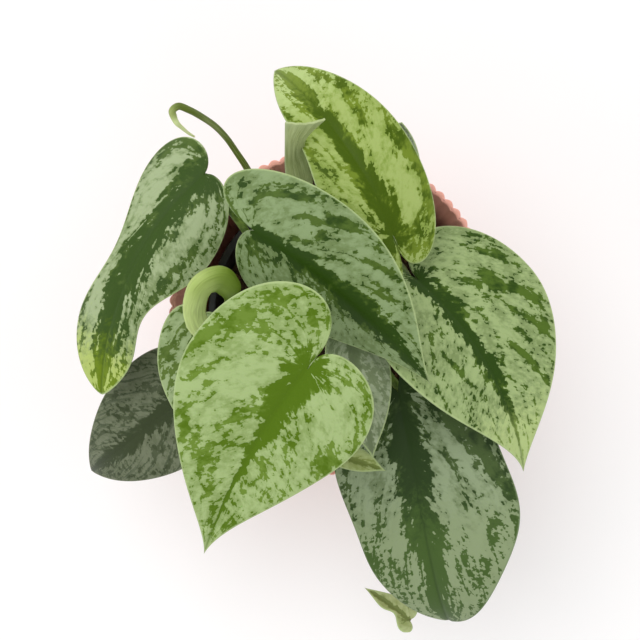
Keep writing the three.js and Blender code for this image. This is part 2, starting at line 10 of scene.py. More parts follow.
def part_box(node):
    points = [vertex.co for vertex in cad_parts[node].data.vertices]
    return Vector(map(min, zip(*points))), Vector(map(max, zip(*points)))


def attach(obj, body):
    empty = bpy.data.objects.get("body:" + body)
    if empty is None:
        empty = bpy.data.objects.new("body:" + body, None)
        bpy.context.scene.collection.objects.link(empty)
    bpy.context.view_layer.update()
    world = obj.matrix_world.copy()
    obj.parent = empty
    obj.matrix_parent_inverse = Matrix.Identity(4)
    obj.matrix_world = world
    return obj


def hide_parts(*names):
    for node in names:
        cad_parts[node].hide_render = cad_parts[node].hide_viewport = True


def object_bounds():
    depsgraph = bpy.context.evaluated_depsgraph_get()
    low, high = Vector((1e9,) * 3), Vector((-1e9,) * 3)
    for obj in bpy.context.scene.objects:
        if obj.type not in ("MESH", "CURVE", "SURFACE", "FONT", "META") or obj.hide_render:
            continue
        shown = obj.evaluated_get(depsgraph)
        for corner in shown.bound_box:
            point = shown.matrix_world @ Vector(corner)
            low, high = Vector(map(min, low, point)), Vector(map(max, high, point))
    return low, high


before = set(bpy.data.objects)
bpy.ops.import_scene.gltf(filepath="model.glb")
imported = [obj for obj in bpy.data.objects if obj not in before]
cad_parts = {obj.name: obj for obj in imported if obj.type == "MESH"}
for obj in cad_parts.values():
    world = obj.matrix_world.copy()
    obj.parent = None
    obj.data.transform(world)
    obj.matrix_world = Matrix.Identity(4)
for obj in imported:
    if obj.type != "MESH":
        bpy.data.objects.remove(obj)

cad_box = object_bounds()
MM = 0.001

# ---- Outer pot ----
# A cover pot moulded in one piece of matt coral plastic. 84 rounded flutes run up its tapered wall to a
# rim that is rounded over, and the pot stands on a plain foot.
POT_HEIGHT, RIM_RADIUS, BASE_RADIUS = 100, 56, 42
POT_WALL, POT_FLOOR, FOOT_HEIGHT = 2.1, 4, 3
RIM_ROUNDING, FLOOR_ROUNDING = 0.9, 3
FLUTES, FLUTE_SIDES, FLUTE_DEPTH = 84, 8, 1.0
INNER_FLUTE_SHARE = 0.5  # the flutes show half as deep on the inside
PLAIN_FLOOR = 30  # radius within which nothing is fluted


def pick(*pieces):
    """Makes these pieces the only ones that Blender's operators work on."""
    bpy.ops.object.select_all(action="DESELECT")
    for piece in pieces:
        piece.select_set(True)
        bpy.context.view_layer.objects.active = piece


def thrown(name, section, around):
    """A round closed body raised from a disc: its edge is drawn out ring by ring along a half section."""
    pick()
    radius, height = section[0]
    bpy.ops.mesh.primitive_circle_add(
        vertices=around, radius=radius * MM, fill_type="TRIFAN", location=(0, 0, height * MM))
    piece = bpy.context.object
    piece.name = piece.data.name = name
    bpy.ops.object.transform_apply(location=True, rotation=True, scale=True)
    bpy.ops.object.mode_set(mode="EDIT")
    bpy.ops.mesh.select_mode(type="EDGE")
    bpy.ops.mesh.select_all(action="DESELECT")
    bpy.ops.mesh.select_non_manifold()
    for next_radius, next_height in section[1:]:
        bpy.ops.mesh.extrude_region_move(
            TRANSFORM_OT_translate={"value": (0, 0, (next_height - height) * MM)})
        share = next_radius / radius
        bpy.ops.transform.resize(value=(share, share, 1), center_override=(0, 0, next_height * MM))
        radius, height = next_radius, next_height
    bpy.ops.mesh.extrude_region_move(TRANSFORM_OT_translate={"value": (0, 0, 0)})
    bpy.ops.mesh.merge(type="CENTER")
    bpy.ops.mesh.select_all(action="SELECT")
    bpy.ops.mesh.normals_make_consistent(inside=False)
    bpy.ops.object.mode_set(mode="OBJECT")
    bpy.ops.object.shade_smooth_by_angle(angle=math.radians(40))
    return piece


def rounded(corner_a, corner, corner_b, radius, count=5):
    """Points of a section's corner, rounded over between the two straight runs that meet there."""
    a, c, b = (Vector(p) for p in (corner_a, corner, corner_b))
    start, end = c + (a - c).normalized() * radius, c + (b - c).normalized() * radius
    shares = [i / count for i in range(count + 1)]
    return [tuple(start * (1 - s) ** 2 + c * (2 * s * (1 - s)) + end * s ** 2) for s in shares]


def between(start, end, count):
    """Points on a straight run of a section, without its two ends."""
    return [tuple(Vector(start).lerp(Vector(end), i / (count + 1))) for i in range(1, count + 1)]


def paint(red, green, blue):
    """Colour for a shader from the 0 to 255 values of a colour chart."""
    shares = [value / 255 for value in (red, green, blue)]
    return tuple(s / 12.92 if s <= 0.04045 else ((s + 0.055) / 1.055) ** 2.4 for s in shares) + (1.0,)


def arithmetic(operation):
    """An operator that adds one step of arithmetic to a material's node sheet."""
    return lambda first, second: first.maths(operation, second)


class Wire:
    """One output in a material's node sheet, used in arithmetic as a number is."""

    __add__ = __radd__ = arithmetic("ADD")
    __mul__ = __rmul__ = arithmetic("MULTIPLY")
    __sub__ = arithmetic("SUBTRACT")
    __truediv__ = arithmetic("DIVIDE")
    __pow__ = arithmetic("POWER")

    def __init__(self, finish, socket):
        self.finish, self.socket = finish, socket

    def maths(self, operation, *others):
        values = dict(enumerate((self, *others)))
        return self.finish.node("ShaderNodeMath", {"operation": operation}, values)

    def __rsub__(self, other):
        return self.finish.node("ShaderNodeMath", {"operation": "SUBTRACT"}, {0: other, 1: self})

    def __abs__(self):
        return self.maths("ABSOLUTE")

    def held(self):
        """The value kept between 0 and 1."""
        return self.maths("MINIMUM", 1).maths("MAXIMUM", 0)

    def rise(self, low, high):
        """0 below low, 1 above high, and a smooth rise between them."""
        settings = {"interpolation_type": "SMOOTHSTEP"}
        return self.finish.node("ShaderNodeMapRange", settings, {0: self, 1: low, 2: high, 3: 0, 4: 1})


class Finish:
    """A material: one Principled shader and the nodes that colour and roughen it."""

    def __init__(self, name, **surface):
        self.material = bpy.data.materials.new(name)
        self.material.use_nodes = True
        self.sheet = self.material.node_tree
        self.sheet.nodes.clear()
        self.shader = self.sheet.nodes.new("ShaderNodeBsdfPrincipled")
        output = self.sheet.nodes.new("ShaderNodeOutputMaterial")
        self.sheet.links.new(self.shader.outputs[0], output.inputs[0])
        self.set(**surface)

    def fill(self, socket, value):
        """Joins a wire to a socket or sets its value, where a colour is given as a colour chart gives it."""
        if isinstance(value, Wire):
            self.sheet.links.new(value.socket, socket)
        else:
            socket.default_value = paint(*value) if socket.type == "RGBA" else value

    def set(self, **surface):
        for name, value in surface.items():
            self.fill(self.shader.inputs[name.replace("_", " ").title().replace("Ior", "IOR")], value)

    def node(self, kind, settings, sockets, output=0):
        made = self.sheet.nodes.new(kind)
        for name, value in settings.items():
            setattr(made, name, value)
        for name, value in sockets.items():
            self.fill(made.inputs[name], value)
        return Wire(self, made.outputs[output])

    def place(self):
        return self.node("ShaderNodeTexCoord", {}, {}, "Object")

    def parts(self, vector):
        return [self.node("ShaderNodeSeparateXYZ", {}, {0: vector}, i) for i in range(3)]

    def noted(self, label):
        """The three values that a mesh keeps under a label at each of its points."""
        return self.parts(self.node("ShaderNodeAttribute", {"attribute_name": label}, {}, "Vector"))

    def vector(self, x, y, z):
        return self.node("ShaderNodeCombineXYZ", {}, {0: x, 1: y, 2: z})

    def noise(self, vector, scale, detail=2.0, roughness=0.5, distortion=0.0):
        sockets = {"Vector": vector, "Scale": scale, "Detail": detail,
                   "Roughness": roughness, "Distortion": distortion}
        return self.node("ShaderNodeTexNoise", {}, sockets)

    def grain(self, x, y, z, detail=2.0, roughness=0.5):
        """Noise over any three values."""
        return self.noise(self.vector(x, y, z), 1, detail, roughness)

    def mix(self, share, first, second):
        return self.node("ShaderNodeMix", {"data_type": "RGBA"}, {0: share, 6: first, 7: second}, 2)

    def bump(self, height, distance, strength=1.0):
        self.set(normal=self.node("ShaderNodeBump", {}, {
            "Height": height, "Distance": distance * MM, "Strength": strength}))


def place_piece(piece, finish, slot, *nodes):
    """Gives a piece its material, ties it to the plant, and hides the solids that it stands for."""
    piece.data.materials.append(finish.material)
    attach(piece, "root")
    if nodes:
        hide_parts(*nodes)


def slope_radius(height):
    """Radius of the outer pot's tapered wall, at the crests of its flutes."""
    return BASE_RADIUS + (RIM_RADIUS - BASE_RADIUS) * height / POT_HEIGHT


foot = (slope_radius(FOOT_HEIGHT), FOOT_HEIGHT)
rim, inner_rim = (RIM_RADIUS, POT_HEIGHT), (RIM_RADIUS - POT_WALL, POT_HEIGHT)
inner_foot = (BASE_RADIUS - POT_WALL, POT_FLOOR)
pot_section = [(BASE_RADIUS - 6, 0), (BASE_RADIUS - 1.3, 0), (BASE_RADIUS - 0.75, 0.35), foot]
pot_section += between(foot, rim, 12) + rounded(foot, rim, inner_rim, RIM_ROUNDING)
pot_section += rounded(rim, inner_rim, inner_foot, RIM_ROUNDING) + between(inner_rim, inner_foot, 8)
pot_section += rounded(inner_rim, inner_foot, (0, POT_FLOOR), FLOOR_ROUNDING) + [(6, POT_FLOOR)]
outer_pot = thrown("fluted_outer_pot", pot_section, FLUTES * FLUTE_SIDES)
for vertex in outer_pot.data.vertices:
    x, y, z = vertex.co
    radius, height = math.hypot(x, y), z / MM
    if radius < PLAIN_FLOOR * MM:
        continue
    if radius / MM > slope_radius(height) - POT_WALL / 2:
        depth = FLUTE_DEPTH * min(1.0, max(0.0, height / FOOT_HEIGHT))
    else:
        depth = INNER_FLUTE_SHARE * FLUTE_DEPTH * max(0.0, (height - POT_FLOOR) / POT_HEIGHT)
    groove = 1 - abs(math.cos(math.atan2(y, x) * FLUTES / 2))
    shrink = 1 - depth * MM * groove / radius
    vertex.co = (x * shrink, y * shrink, z)

coral = Finish("coral_plastic", roughness=0.5, specular_ior_level=0.4)
spot = coral.place()
cloud = coral.noise(spot, 38, 3, 0.55)
speck = coral.noise(spot, 900, 2, 0.6)
_, _, height = coral.parts(spot)
tone = coral.mix((cloud * 0.8 + speck * 0.35).rise(0.35, 0.85), (240, 166, 148), (250, 186, 170))
# Painted shade: within 20 mm of the floor the coral is mixed up to a quarter of the way towards a darker
# tone, deepest at the foot where the pot meets the floor.
tone = coral.mix((1 - height / (POT_HEIGHT * MM)).rise(0.8, 1.0) * 0.25, tone, (214, 132, 116))
coral.set(base_color=tone, roughness=0.42 + speck * 0.22)
coral.bump(speck * 0.6 + cloud * 0.8, 0.12)
place_piece(outer_pot, coral, "outer_pot", "outer_pot")

# ---- Nursery pot ----
# The thin black pot that the plant was raised in: vacuum-formed plastic with a stiff turned-down lip and
# six drain holes. It drops loosely into the cover pot and stands on its floor.
INNER_BOTTOM, INNER_TOP = 4.3, 88.3
INNER_BASE, INNER_MOUTH, INNER_RIM, INNER_WALL, LIP = 33, 42, 43.5, 1.2, 4
LIP_ROUNDING, CORNER_OUTSIDE, CORNER_INSIDE = 0.55, 1.5, 1.2
FLOOR_RINGS = (10, 20, 27)
DRAIN_HOLES, DRAIN_RADIUS, DRAIN_CIRCLE, PUNCH_LENGTH = 6, 3.5, 21, 4


def inner_wall_radius(height):
    """Radius of the nursery pot's inner face."""
    share = (height - INNER_BOTTOM) / (INNER_TOP - INNER_BOTTOM)
    return INNER_BASE + (INNER_MOUTH - INNER_BASE) * share - INNER_WALL


lip_foot = INNER_TOP - LIP
lip_in = inner_wall_radius(lip_foot) + INNER_WALL
floor_top = INNER_BOTTOM + INNER_WALL
wall_foot, under_lip, lip_low = (INNER_BASE, INNER_BOTTOM), (lip_in, lip_foot), (INNER_RIM, lip_foot)
lip_high, mouth = (INNER_RIM, INNER_TOP), (inner_wall_radius(INNER_TOP), INNER_TOP)
inside_foot = (inner_wall_radius(floor_top), floor_top)
below = [(radius, INNER_BOTTOM) for radius in FLOOR_RINGS]
above = [(radius, floor_top) for radius in reversed(FLOOR_RINGS)]
nursery_section = below + rounded(below[-1], wall_foot, under_lip, CORNER_OUTSIDE)
nursery_section += between(wall_foot, under_lip, 6) + [under_lip, (INNER_RIM - 0.4, lip_foot)]
nursery_section += rounded(lip_low, lip_high, mouth, LIP_ROUNDING)
nursery_section += rounded(lip_high, mouth, inside_foot, LIP_ROUNDING) + between(mouth, inside_foot, 6)
nursery_section += rounded(mouth, inside_foot, above[0], CORNER_INSIDE) + above
nursery_pot = thrown("black_nursery_pot", nursery_section, 120)

pick()
for hole in range(DRAIN_HOLES):
    turn = math.radians(360 / DRAIN_HOLES * hole)
    x, y = DRAIN_CIRCLE * math.cos(turn), DRAIN_CIRCLE * math.sin(turn)
    bpy.ops.mesh.primitive_cylinder_add(
        vertices=24, radius=DRAIN_RADIUS * MM, depth=PUNCH_LENGTH * MM,
        location=(x * MM, y * MM, (INNER_BOTTOM + INNER_WALL / 2) * MM))
    punch = bpy.context.object
    cut = nursery_pot.modifiers.new("drain_hole", "BOOLEAN")
    cut.operation, cut.object, cut.solver = "DIFFERENCE", punch, "EXACT"
    bpy.context.view_layer.objects.active = nursery_pot
    bpy.ops.object.modifier_apply(modifier=cut.name)
    bpy.data.objects.remove(punch, do_unlink=True)

black = Finish("black_nursery_plastic", roughness=0.4, specular_ior_level=0.5)
spot = black.place()
scuff = black.noise(spot, 260, 4, 0.7, 0.6)
dust = black.noise(spot, 60, 3, 0.6)
tone = black.mix((scuff * 0.7 + dust * 0.5).rise(0.6, 0.95), (20, 20, 22), (58, 54, 52))
black.set(base_color=tone, roughness=0.28 + dust * 0.3)
black.bump(scuff, 0.15)
place_piece(nursery_pot, black, "nursery_pot", "nursery_pot")

# ---- Soil ----
# Peat potting mix: a loose dark fill that crumbles at the surface and mounds up a little round the stems.
# Crumbs of peat and bark, and a few pale mineral grains, lie half sunk in it.
SOIL_TOP, SOIL_MOUND, SOIL_RINGS = 76.3, 3.0, 26
VINE_FEET = {"back_left": (-22, 14), "back_right": (15, 18), "front_left": (-20, -14), "front_right": (9, -6)}
VINE_ROOM = 3.4  # radius kept free of crumbs round each vine
soil_low = floor_top + 0.3
soil_edge = inner_wall_radius(SOIL_TOP) - 0.45
soil_section = [(12, soil_low), (24, soil_low), (inner_wall_radius(soil_low) - 0.6, soil_low)]
soil_section += between(soil_section[-1], (soil_edge, SOIL_TOP), 3) + [(soil_edge, SOIL_TOP - 0.4)]
for ring in range(1, SOIL_RINGS - 1):
    share = ring / SOIL_RINGS
    soil_section.append((soil_edge * (1 - share), SOIL_TOP + SOIL_MOUND * min(1, 1.25 * share)))
soil = thrown("potting_soil", soil_section, 110)

grain_draw = random.Random(31)


def soil_height(x, y):
    """Height of the uneven soil surface above a spot, in millimetres."""
    share = max(0.0, 1 - math.hypot(x, y) / soil_edge)
    lumps = 0.5 * math.sin(0.31 * x + 1.1) * math.cos(0.27 * y) + 0.3 * math.sin(0.83 * x - 0.6 * y)
    fade = min(1.0, 6 * share)
    return SOIL_TOP + SOIL_MOUND * 0.93 * min(1.0, 1.25 * share) + lumps * fade * 0.6


for vertex in soil.data.vertices:
    x, y, z = (value / MM for value in vertex.co)
    if z > SOIL_TOP + 0.05:
        crumble = grain_draw.uniform(-0.3, 0.25)
        vertex.co.z = (soil_height(x, y) + crumble) * MM

peat = Finish("peat_potting_mix", roughness=0.95, specular_ior_level=0.2)
spot = peat.place()
clod = peat.noise(spot, 160, 5, 0.7)
fibre = peat.noise(spot, 700, 3, 0.7, 1.5)
peat.set(base_color=peat.mix((clod * 0.7 + fibre * 0.5).rise(0.42, 0.8), (30, 22, 17), (92, 68, 48)))
peat.bump(clod + fibre * 0.5, 0.8)
place_piece(soil, peat, "soil", "soil")


def new_piece(name, points, faces):
    """A mesh in the scene, from points in millimetres."""
    mesh = bpy.data.meshes.new(name)
    mesh.from_pydata([tuple(float(c) * MM for c in p) for p in points], [], faces)
    mesh.validate()
    piece = bpy.data.objects.new(name, mesh)
    bpy.context.collection.objects.link(piece)
    return piece


def crumbs(name, count, smallest, largest, flatness, finish):
    """Loose grains scattered over the soil, each a copy of one rough lump, turned and scaled by chance."""
    pick()
    bpy.ops.mesh.primitive_ico_sphere_add(subdivisions=1, radius=1)
    lump = bpy.context.object
    corners = [vertex.co.copy() for vertex in lump.data.vertices]
    sides = [tuple(face.vertices) for face in lump.data.polygons]
    bpy.data.objects.remove(lump, do_unlink=True)
    points, faces = [], []
    while len(faces) < count * len(sides):
        radius, turn = soil_edge * math.sqrt(grain_draw.random()) * 0.96, grain_draw.uniform(0, math.tau)
        x, y = radius * math.cos(turn), radius * math.sin(turn)
        if any(math.hypot(x - a, y - b) < VINE_ROOM for a, b in VINE_FEET.values()):
            continue
        size = smallest + (largest - smallest) * grain_draw.random() ** 3
        tilt = Matrix.Rotation(grain_draw.uniform(0, math.tau), 3, Vector((
            grain_draw.uniform(-0.3, 0.3), grain_draw.uniform(-0.3, 0.3), 1)).normalized())
        stretch = Vector((grain_draw.uniform(0.6, 1.2), grain_draw.uniform(0.5, 1), flatness))
        base, rough = len(points), [grain_draw.uniform(0.75, 1.1) for _ in corners]
        centre = Vector((x, y, soil_height(x, y) + 0.15 * size))
        for corner, swell in zip(corners, rough):
            points.append(centre + tilt @ (corner * stretch) * size * swell)
        faces.extend(tuple(base + k for k in side) for side in sides)
    place_piece(new_piece(name, points, faces), finish, "soil")


bark = Finish("bark_crumbs", roughness=0.9, specular_ior_level=0.2)
spot = bark.place()
grain = bark.noise(spot, 240, 3, 0.6)
bark.set(base_color=bark.mix(grain.rise(0.38, 0.66), (40, 28, 20), (112, 80, 54)))
bark.bump(bark.noise(spot, 1800, 3, 0.6), 0.2)
crumbs("soil_crumbs", 900, 0.45, 2.1, 0.55, bark)

mineral = Finish("pale_mineral_grains", roughness=0.85, specular_ior_level=0.3)
spot = mineral.place()
pore = mineral.noise(spot, 1500, 3, 0.7)
mineral.set(base_color=mineral.mix(pore.rise(0.4, 0.65), (150, 142, 130), (214, 208, 196)))
mineral.bump(pore, 0.2)
crumbs("soil_mineral_grains", 55, 0.5, 1.3, 0.8, mineral)

# ---- Front leaf ----
# The topmost blade, held level on the longest stalk. A blade is one thin satin sheet, folded a little at
# the midrib and rolled down at its sides, with silver blisters of air under a green skin.
BLADE_THICKNESS = 0.7
LIP_ROWS = (0.42, 0.12, 0.0)  # rows of points round the margin's edge, as shares of the thickness left
LOBE_SHARE = 0.4  # share of the margin that belongs to the lobe behind the stalk
LOBE_PULL = (1.28, 1.1)  # how far the lobe's curve is drawn back
TIP_WIDTH = 0.1  # half-width where the tip begins, as a share of the whole
WAVE_TURNS = math.radians(960)  # run of the margin's waves from the stalk to the tip
GROOVE, GROOVE_WIDTH, RIDGE, RIDGE_WIDTH = 0.24, 0.8, 0.55, 1.0  # the midrib above and below the blade
VEIN_SWEEP = 0.15  # how much nearer to the tip a vein ends than it starts, as a share of the margin
VEIN_LEAN = math.radians(48)  # angle between the veins and the midrib
STALK_DROPS = (5.65, 0.25)  # depths below the blade of a stalk's last two points
LEAF_SLACK, PLANT_SLACK = 0.25, -0.02  # how far a blade may leave the box of its solid, and of the plant
ROW_CROWDING = 1.25  # how much closer the rows of points lie towards the midrib
LIP_SHARE = 0.3  # most of a rib's length that its rounded edge takes up
MARK_SPREAD = 1.3  # widens all marks along the margin
# A leaf's shape: at and turns (heading, pitch, roll) place the end of its stalk. left and right are its
# half-widths, lobes how far its two halves reach behind the stalk, belly the place where they are widest,
# fullness and point the run from there to the tip. It may have a waist in each half, and its right half may
# differ. bends are its turn sideways, its fall and the further fall of its tip, fold and curl its section
# from the midrib outwards, wave the ripple of its margin, and room the space above its stalk.
PLAIN_LEAF = dict(twist=0, notch=0.08, waist=(0, 0), waist_at=0, waist_reach=0.2, right_half={}, room=0)
stalk_ends = {}  # the last two points of each leaf's stalk


def seat(at, turns):
    """The place and the heading, pitch and roll of a blade."""
    heading, pitch, roll = (math.radians(turn) for turn in turns)
    turned = Matrix.Rotation(heading, 4, "Z") @ Matrix.Rotation(-pitch, 4, "Y")
    return Matrix.Translation(at) @ turned @ Matrix.Rotation(roll, 4, "X")


def curve(p0, p1, p2, p3, s):
    """Points of a Bezier curve at shares of the way along it."""
    s = s[:, None]
    p0, p1, p2, p3 = (np.array(p, dtype=float) for p in (p0, p1, p2, p3))
    return p0 * (1 - s) ** 3 + 3 * p1 * s * (1 - s) ** 2 + 3 * p2 * s ** 2 * (1 - s) + p3 * s ** 3


def margin_line(leaf, side, t):
    """The flat blade's margin on one side, from the stalk round the lobe (t = 0) to the tip (t = 1)."""
    own = leaf if side > 0 else {**leaf, **leaf["right_half"]}
    length = leaf["length"]
    half = leaf["left"] if side > 0 else leaf["right"]
    lobe, waist = (leaf[key][0 if side > 0 else 1] for key in ("lobes", "waist"))
    belly = own["belly"] * length
    round_lobe = curve((0, 0), (-LOBE_PULL[0] * lobe, leaf["notch"] * half), (-LOBE_PULL[1] * lobe, half),
                       (belly, half), np.clip(t / LOBE_SHARE, 0, 1))
    to_tip = curve((belly, half), (belly + own["fullness"] * length, half),
                   (length * (1 - leaf["point"]), TIP_WIDTH * half), (length, 0),
                   np.clip((t - LOBE_SHARE) / (1 - LOBE_SHARE), 0, 1))
    edge = np.where((t < LOBE_SHARE)[:, None], round_lobe, to_tip)
    from_waist = (edge[:, 0] / length - own["waist_at"]) / own["waist_reach"]
    edge[:, 1] *= 1 - waist * np.exp(-(from_waist ** 2))
    edge[:, 1] = np.maximum(edge[:, 1], 0.03 * (t > 0) * (t < 1))
    return edge


def bent(leaf, x, y, t, side):
    """Where points of the flat blade go once it is bent, folded and rolled, and the midrib's directions."""
    length = leaf["length"]
    sweep, bend, tip_bend = (math.radians(turn) for turn in leaf["bends"])

    def direction(share):
        turn = sweep * share
        fall = bend * share + tip_bend * np.maximum(share, 0) ** 3
        return np.stack([np.cos(fall) * np.cos(turn), np.cos(fall) * np.sin(turn), -np.sin(fall)], -1)

    stations = np.linspace(-1.6 * max(leaf["lobes"]) - 1, length, 1600)
    step = stations[1] - stations[0]
    run = np.cumsum(direction((stations - step / 2) / length) * step, axis=0)
    run = run - np.array([np.interp(0, stations, run[:, k]) for k in range(3)])
    point = np.stack([np.interp(x, stations, run[:, k]) for k in range(3)], -1)
    share = x / length
    along = direction(share)
    turn = sweep * share
    aside = np.stack([-np.sin(turn), np.cos(turn), np.zeros_like(turn)], -1)
    twist = (math.radians(leaf["twist"]) * share)[:, None]
    up = np.cross(along, aside)
    aside, up = aside * np.cos(twist) + up * np.sin(twist), up * np.cos(twist) - aside * np.sin(twist)
    half = np.where(side > 0, leaf["left"], leaf["right"])
    fold = np.radians(np.where(side > 0, leaf["fold"][0], leaf["fold"][1]))
    curl = math.radians(leaf["curl"])
    v = y / half
    out = half * (np.sin(fold) - np.sin(fold - curl * v)) / curl
    rise = half * (np.cos(fold - curl * v) - np.cos(fold)) / curl
    wave = leaf["wave"] * np.sin(WAVE_TURNS * t + side) * v ** 2 * np.sin(np.pi * t)
    return point + aside * (side * out)[:, None] + up * (rise + wave)[:, None]


def flat_sheet(leaf, ribs, rows):
    """The flat blade's points and faces. Ribs fan out from the midrib to the margin, where the sheet is
    rounded over. A point is x, y, its place along the margin, its share of the way out, its side, its
    half-thickness, and whether both layers share it. A face's corner is a point's number, its place along
    the margin, its row and its side. closing is the three points where the edge closes round the stalk."""
    half_thick = BLADE_THICKNESS / 2
    last_row = rows + len(LIP_ROWS)
    t_all = np.linspace(0, 1, ribs + 1)
    edges = {side: margin_line(leaf, side, t_all) for side in (1, -1)}
    known, spots, cells = {}, [], []

    def spot_of(side, rib, row):
        root = leaf["length"] * max(0.0, (t_all[rib] - LOBE_SHARE) / (1 - LOBE_SHARE))
        ends = rib in (0, ribs)
        key = ("m", round(root, 4)) if row == 0 or ends else (side, rib, row)
        if key not in known:
            ex, ey = edges[side][rib]
            reach = math.hypot(ex - root, ey)
            lip = min(half_thick, LIP_SHARE * reach)
            if ends or row == 0:
                v = 0.0
            elif row <= rows:
                v = (row / rows) ** ROW_CROWDING * (1 - lip / reach)
            else:
                v = 1 - lip / reach * LIP_ROWS[row - rows - 1]
            known[key] = len(spots)
            from_edge = (1 - v) * reach if not ends else 0.0
            thick = half_thick * math.sqrt(max(0.0, 1 - (1 - min(1.0, from_edge / max(lip, 1e-6))) ** 2))
            if rib == 0:
                thick = half_thick
            shared = row == last_row or rib == ribs
            spots.append((root + (ex - root) * v, ey * v, t_all[rib], v, side, thick, shared))
        return known[key]

    # points that fall together at the stalk, the midrib and the tip count once
    for side, rib, row in itertools.product((1, -1), range(ribs), range(last_row)):
        ring = [(rib, row), (rib + 1, row), (rib + 1, row + 1), (rib, row + 1)]
        face = []
        for corner in [(spot_of(side, i, j), t_all[i], j, side) for i, j in ring][::side]:
            if all(corner[0] != other[0] for other in face):
                face.append(corner)
        if len(face) > 2:
            cells.append(face)
    closing = (known[("m", 0.0)], known[(1, 1, last_row)], known[(-1, 1, last_row)])
    return [np.array(column, dtype=float) for column in zip(*spots)], cells, edges, closing


def silver_share(level, marks, t, v, side):
    """How silver each point is: the blade's level, and the marks, which fade off on both sides of a vein."""
    silver = np.full(len(t), float(level))
    for mark_side, half_marks in zip((1, -1), marks):
        for *percents, strength in half_marks:
            mark_t, mark_v, reach_t, reach_v = (percent / 100 for percent in percents)
            along_rib = (t - mark_t - VEIN_SWEEP * (v ** 2 - mark_v ** 2)) / (MARK_SPREAD * reach_t)
            outwards = (v * side - mark_side * mark_v) / reach_v
            silver += strength * np.exp(-(along_rib ** 2) - outwards ** 2)
    return silver


def note_points(mesh, label, values):
    """Keeps three values at each point of a mesh, for its material to go by."""
    layer = mesh.attributes.new(label, "FLOAT_VECTOR", "POINT")
    layer.data.foreach_set("vector", np.array(values, dtype=np.float32).ravel())


def blade(name, node, leaf, band, marks, level, ribs, rows):
    """A leaf blade as a closed thin body. band is the half-width of the green band at even steps along the
    midrib. marks are the soft patches of the left and of the right half: percent of the way along the
    margin, percent of the way out, reach of both, and strength, above 0 for silver and below 0 for green.
    level is how silver the rest is."""
    (x, y, t, v, side, thick, shared), cells, edges, closing = flat_sheet(leaf, ribs, rows)
    middle = bent(leaf, x, y, t, side)
    normal = np.zeros_like(middle)
    for face in cells:
        a, b, c = (middle[corner[0]] for corner in face[:3])
        across = np.cross(b - a, c - a)
        for corner in face:
            normal[corner[0]] += across
    normal /= np.maximum(np.linalg.norm(normal, axis=1), 1e-12)[:, None]
    # the two layers lie half a thickness off the middle one, with the midrib sunk above and raised below
    groove = GROOVE * np.exp(-((y / GROOVE_WIDTH) ** 2)) * (thick / (BLADE_THICKNESS / 2))
    ridge = RIDGE * np.exp(-((y / RIDGE_WIDTH) ** 2)) * np.clip(1 - x / leaf["length"], 0, 1)
    ridge *= (x > 0) * (1 - shared)
    top = middle + normal * (thick - groove)[:, None]
    bottom = middle - normal * (thick + ridge - groove * 0.3)[:, None]
    count = len(x)
    below = np.where(shared > 0, np.arange(count), count + np.arange(count)).astype(int)
    placed = np.array(seat(leaf["at"], leaf["turns"]))
    points = np.concatenate([top, bottom]) @ placed[:3, :3].T + placed[:3, 3]
    for box, slack in ((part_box(node), LEAF_SLACK), (cad_box, PLANT_SLACK)):
        low, high = (np.array(corner) / MM for corner in box)
        points = np.clip(points, low - slack, high + slack)
    faces, notes = [], []
    for face in cells:
        ids = [corner[0] for corner in face]
        mean_t = sum(corner[1] for corner in face) / len(face)
        note = [(corner[1] if corner[2] > 0 or corner[1] > LOBE_SHARE else mean_t, v[corner[0]] * corner[3])
                for corner in face]
        faces.append(ids)
        notes.append(note)
        faces.append([int(below[k]) for k in reversed(ids)])
        notes.append(note[::-1])
    stalk_end, left_corner, right_corner = closing
    faces += [[stalk_end, stalk_end + count, left_corner], [stalk_end, right_corner, stalk_end + count]]
    notes += [[(0.0, 0.0)] * 3] * 2
    # of the points that both faces share at the margin, only those in use are kept
    used = sorted({k for face in faces for k in face})
    short = {k: n for n, k in enumerate(used)}
    piece = new_piece(name, points[used], [[short[k] for k in face] for face in faces])
    mesh = piece.data
    veins = mesh.uv_layers.new(name="veins")
    for polygon, note in zip(mesh.polygons, notes):
        for loop, value in zip(polygon.loop_indices, note):
            veins.data[loop].uv = value
    band_width = np.interp(x / leaf["length"], np.linspace(0, 1, len(band)), band)
    hug = np.hypot(np.minimum(x, 0), y) / np.maximum(band_width, 0.05)
    border = np.concatenate([edges[1], edges[-1] * np.array([1, -1])])
    flat = np.stack([x, y * side], -1)
    from_edge = np.array([np.min(np.hypot(*(border - spot).T)) for spot in flat])
    silver = silver_share(level, marks, t, v, side)
    for label, columns in (("flat", (x, y * side, from_edge)), ("tones", (silver, x / leaf["length"], hug))):
        note_points(mesh, label, np.tile(np.stack(columns, -1), (2, 1))[used])
    pick(piece)
    bpy.ops.object.shade_smooth()
    return piece


def leaf_skin(name, shine):
    """A leaf's finish, with what its pattern goes by: the place along the margin and the share of the way out
    to it, the place on the flat blade, and the distance from the margin."""
    skin = Finish(name, specular_ior_level=shine, subsurface_weight=0.05, subsurface_radius=(0.5, 0.9, 0.2),
                  subsurface_scale=0.0008)
    t, v, _ = skin.parts(skin.node("ShaderNodeUVMap", {"uv_map": "veins"}, {}))
    return (skin, t, v, *skin.noted("flat"))


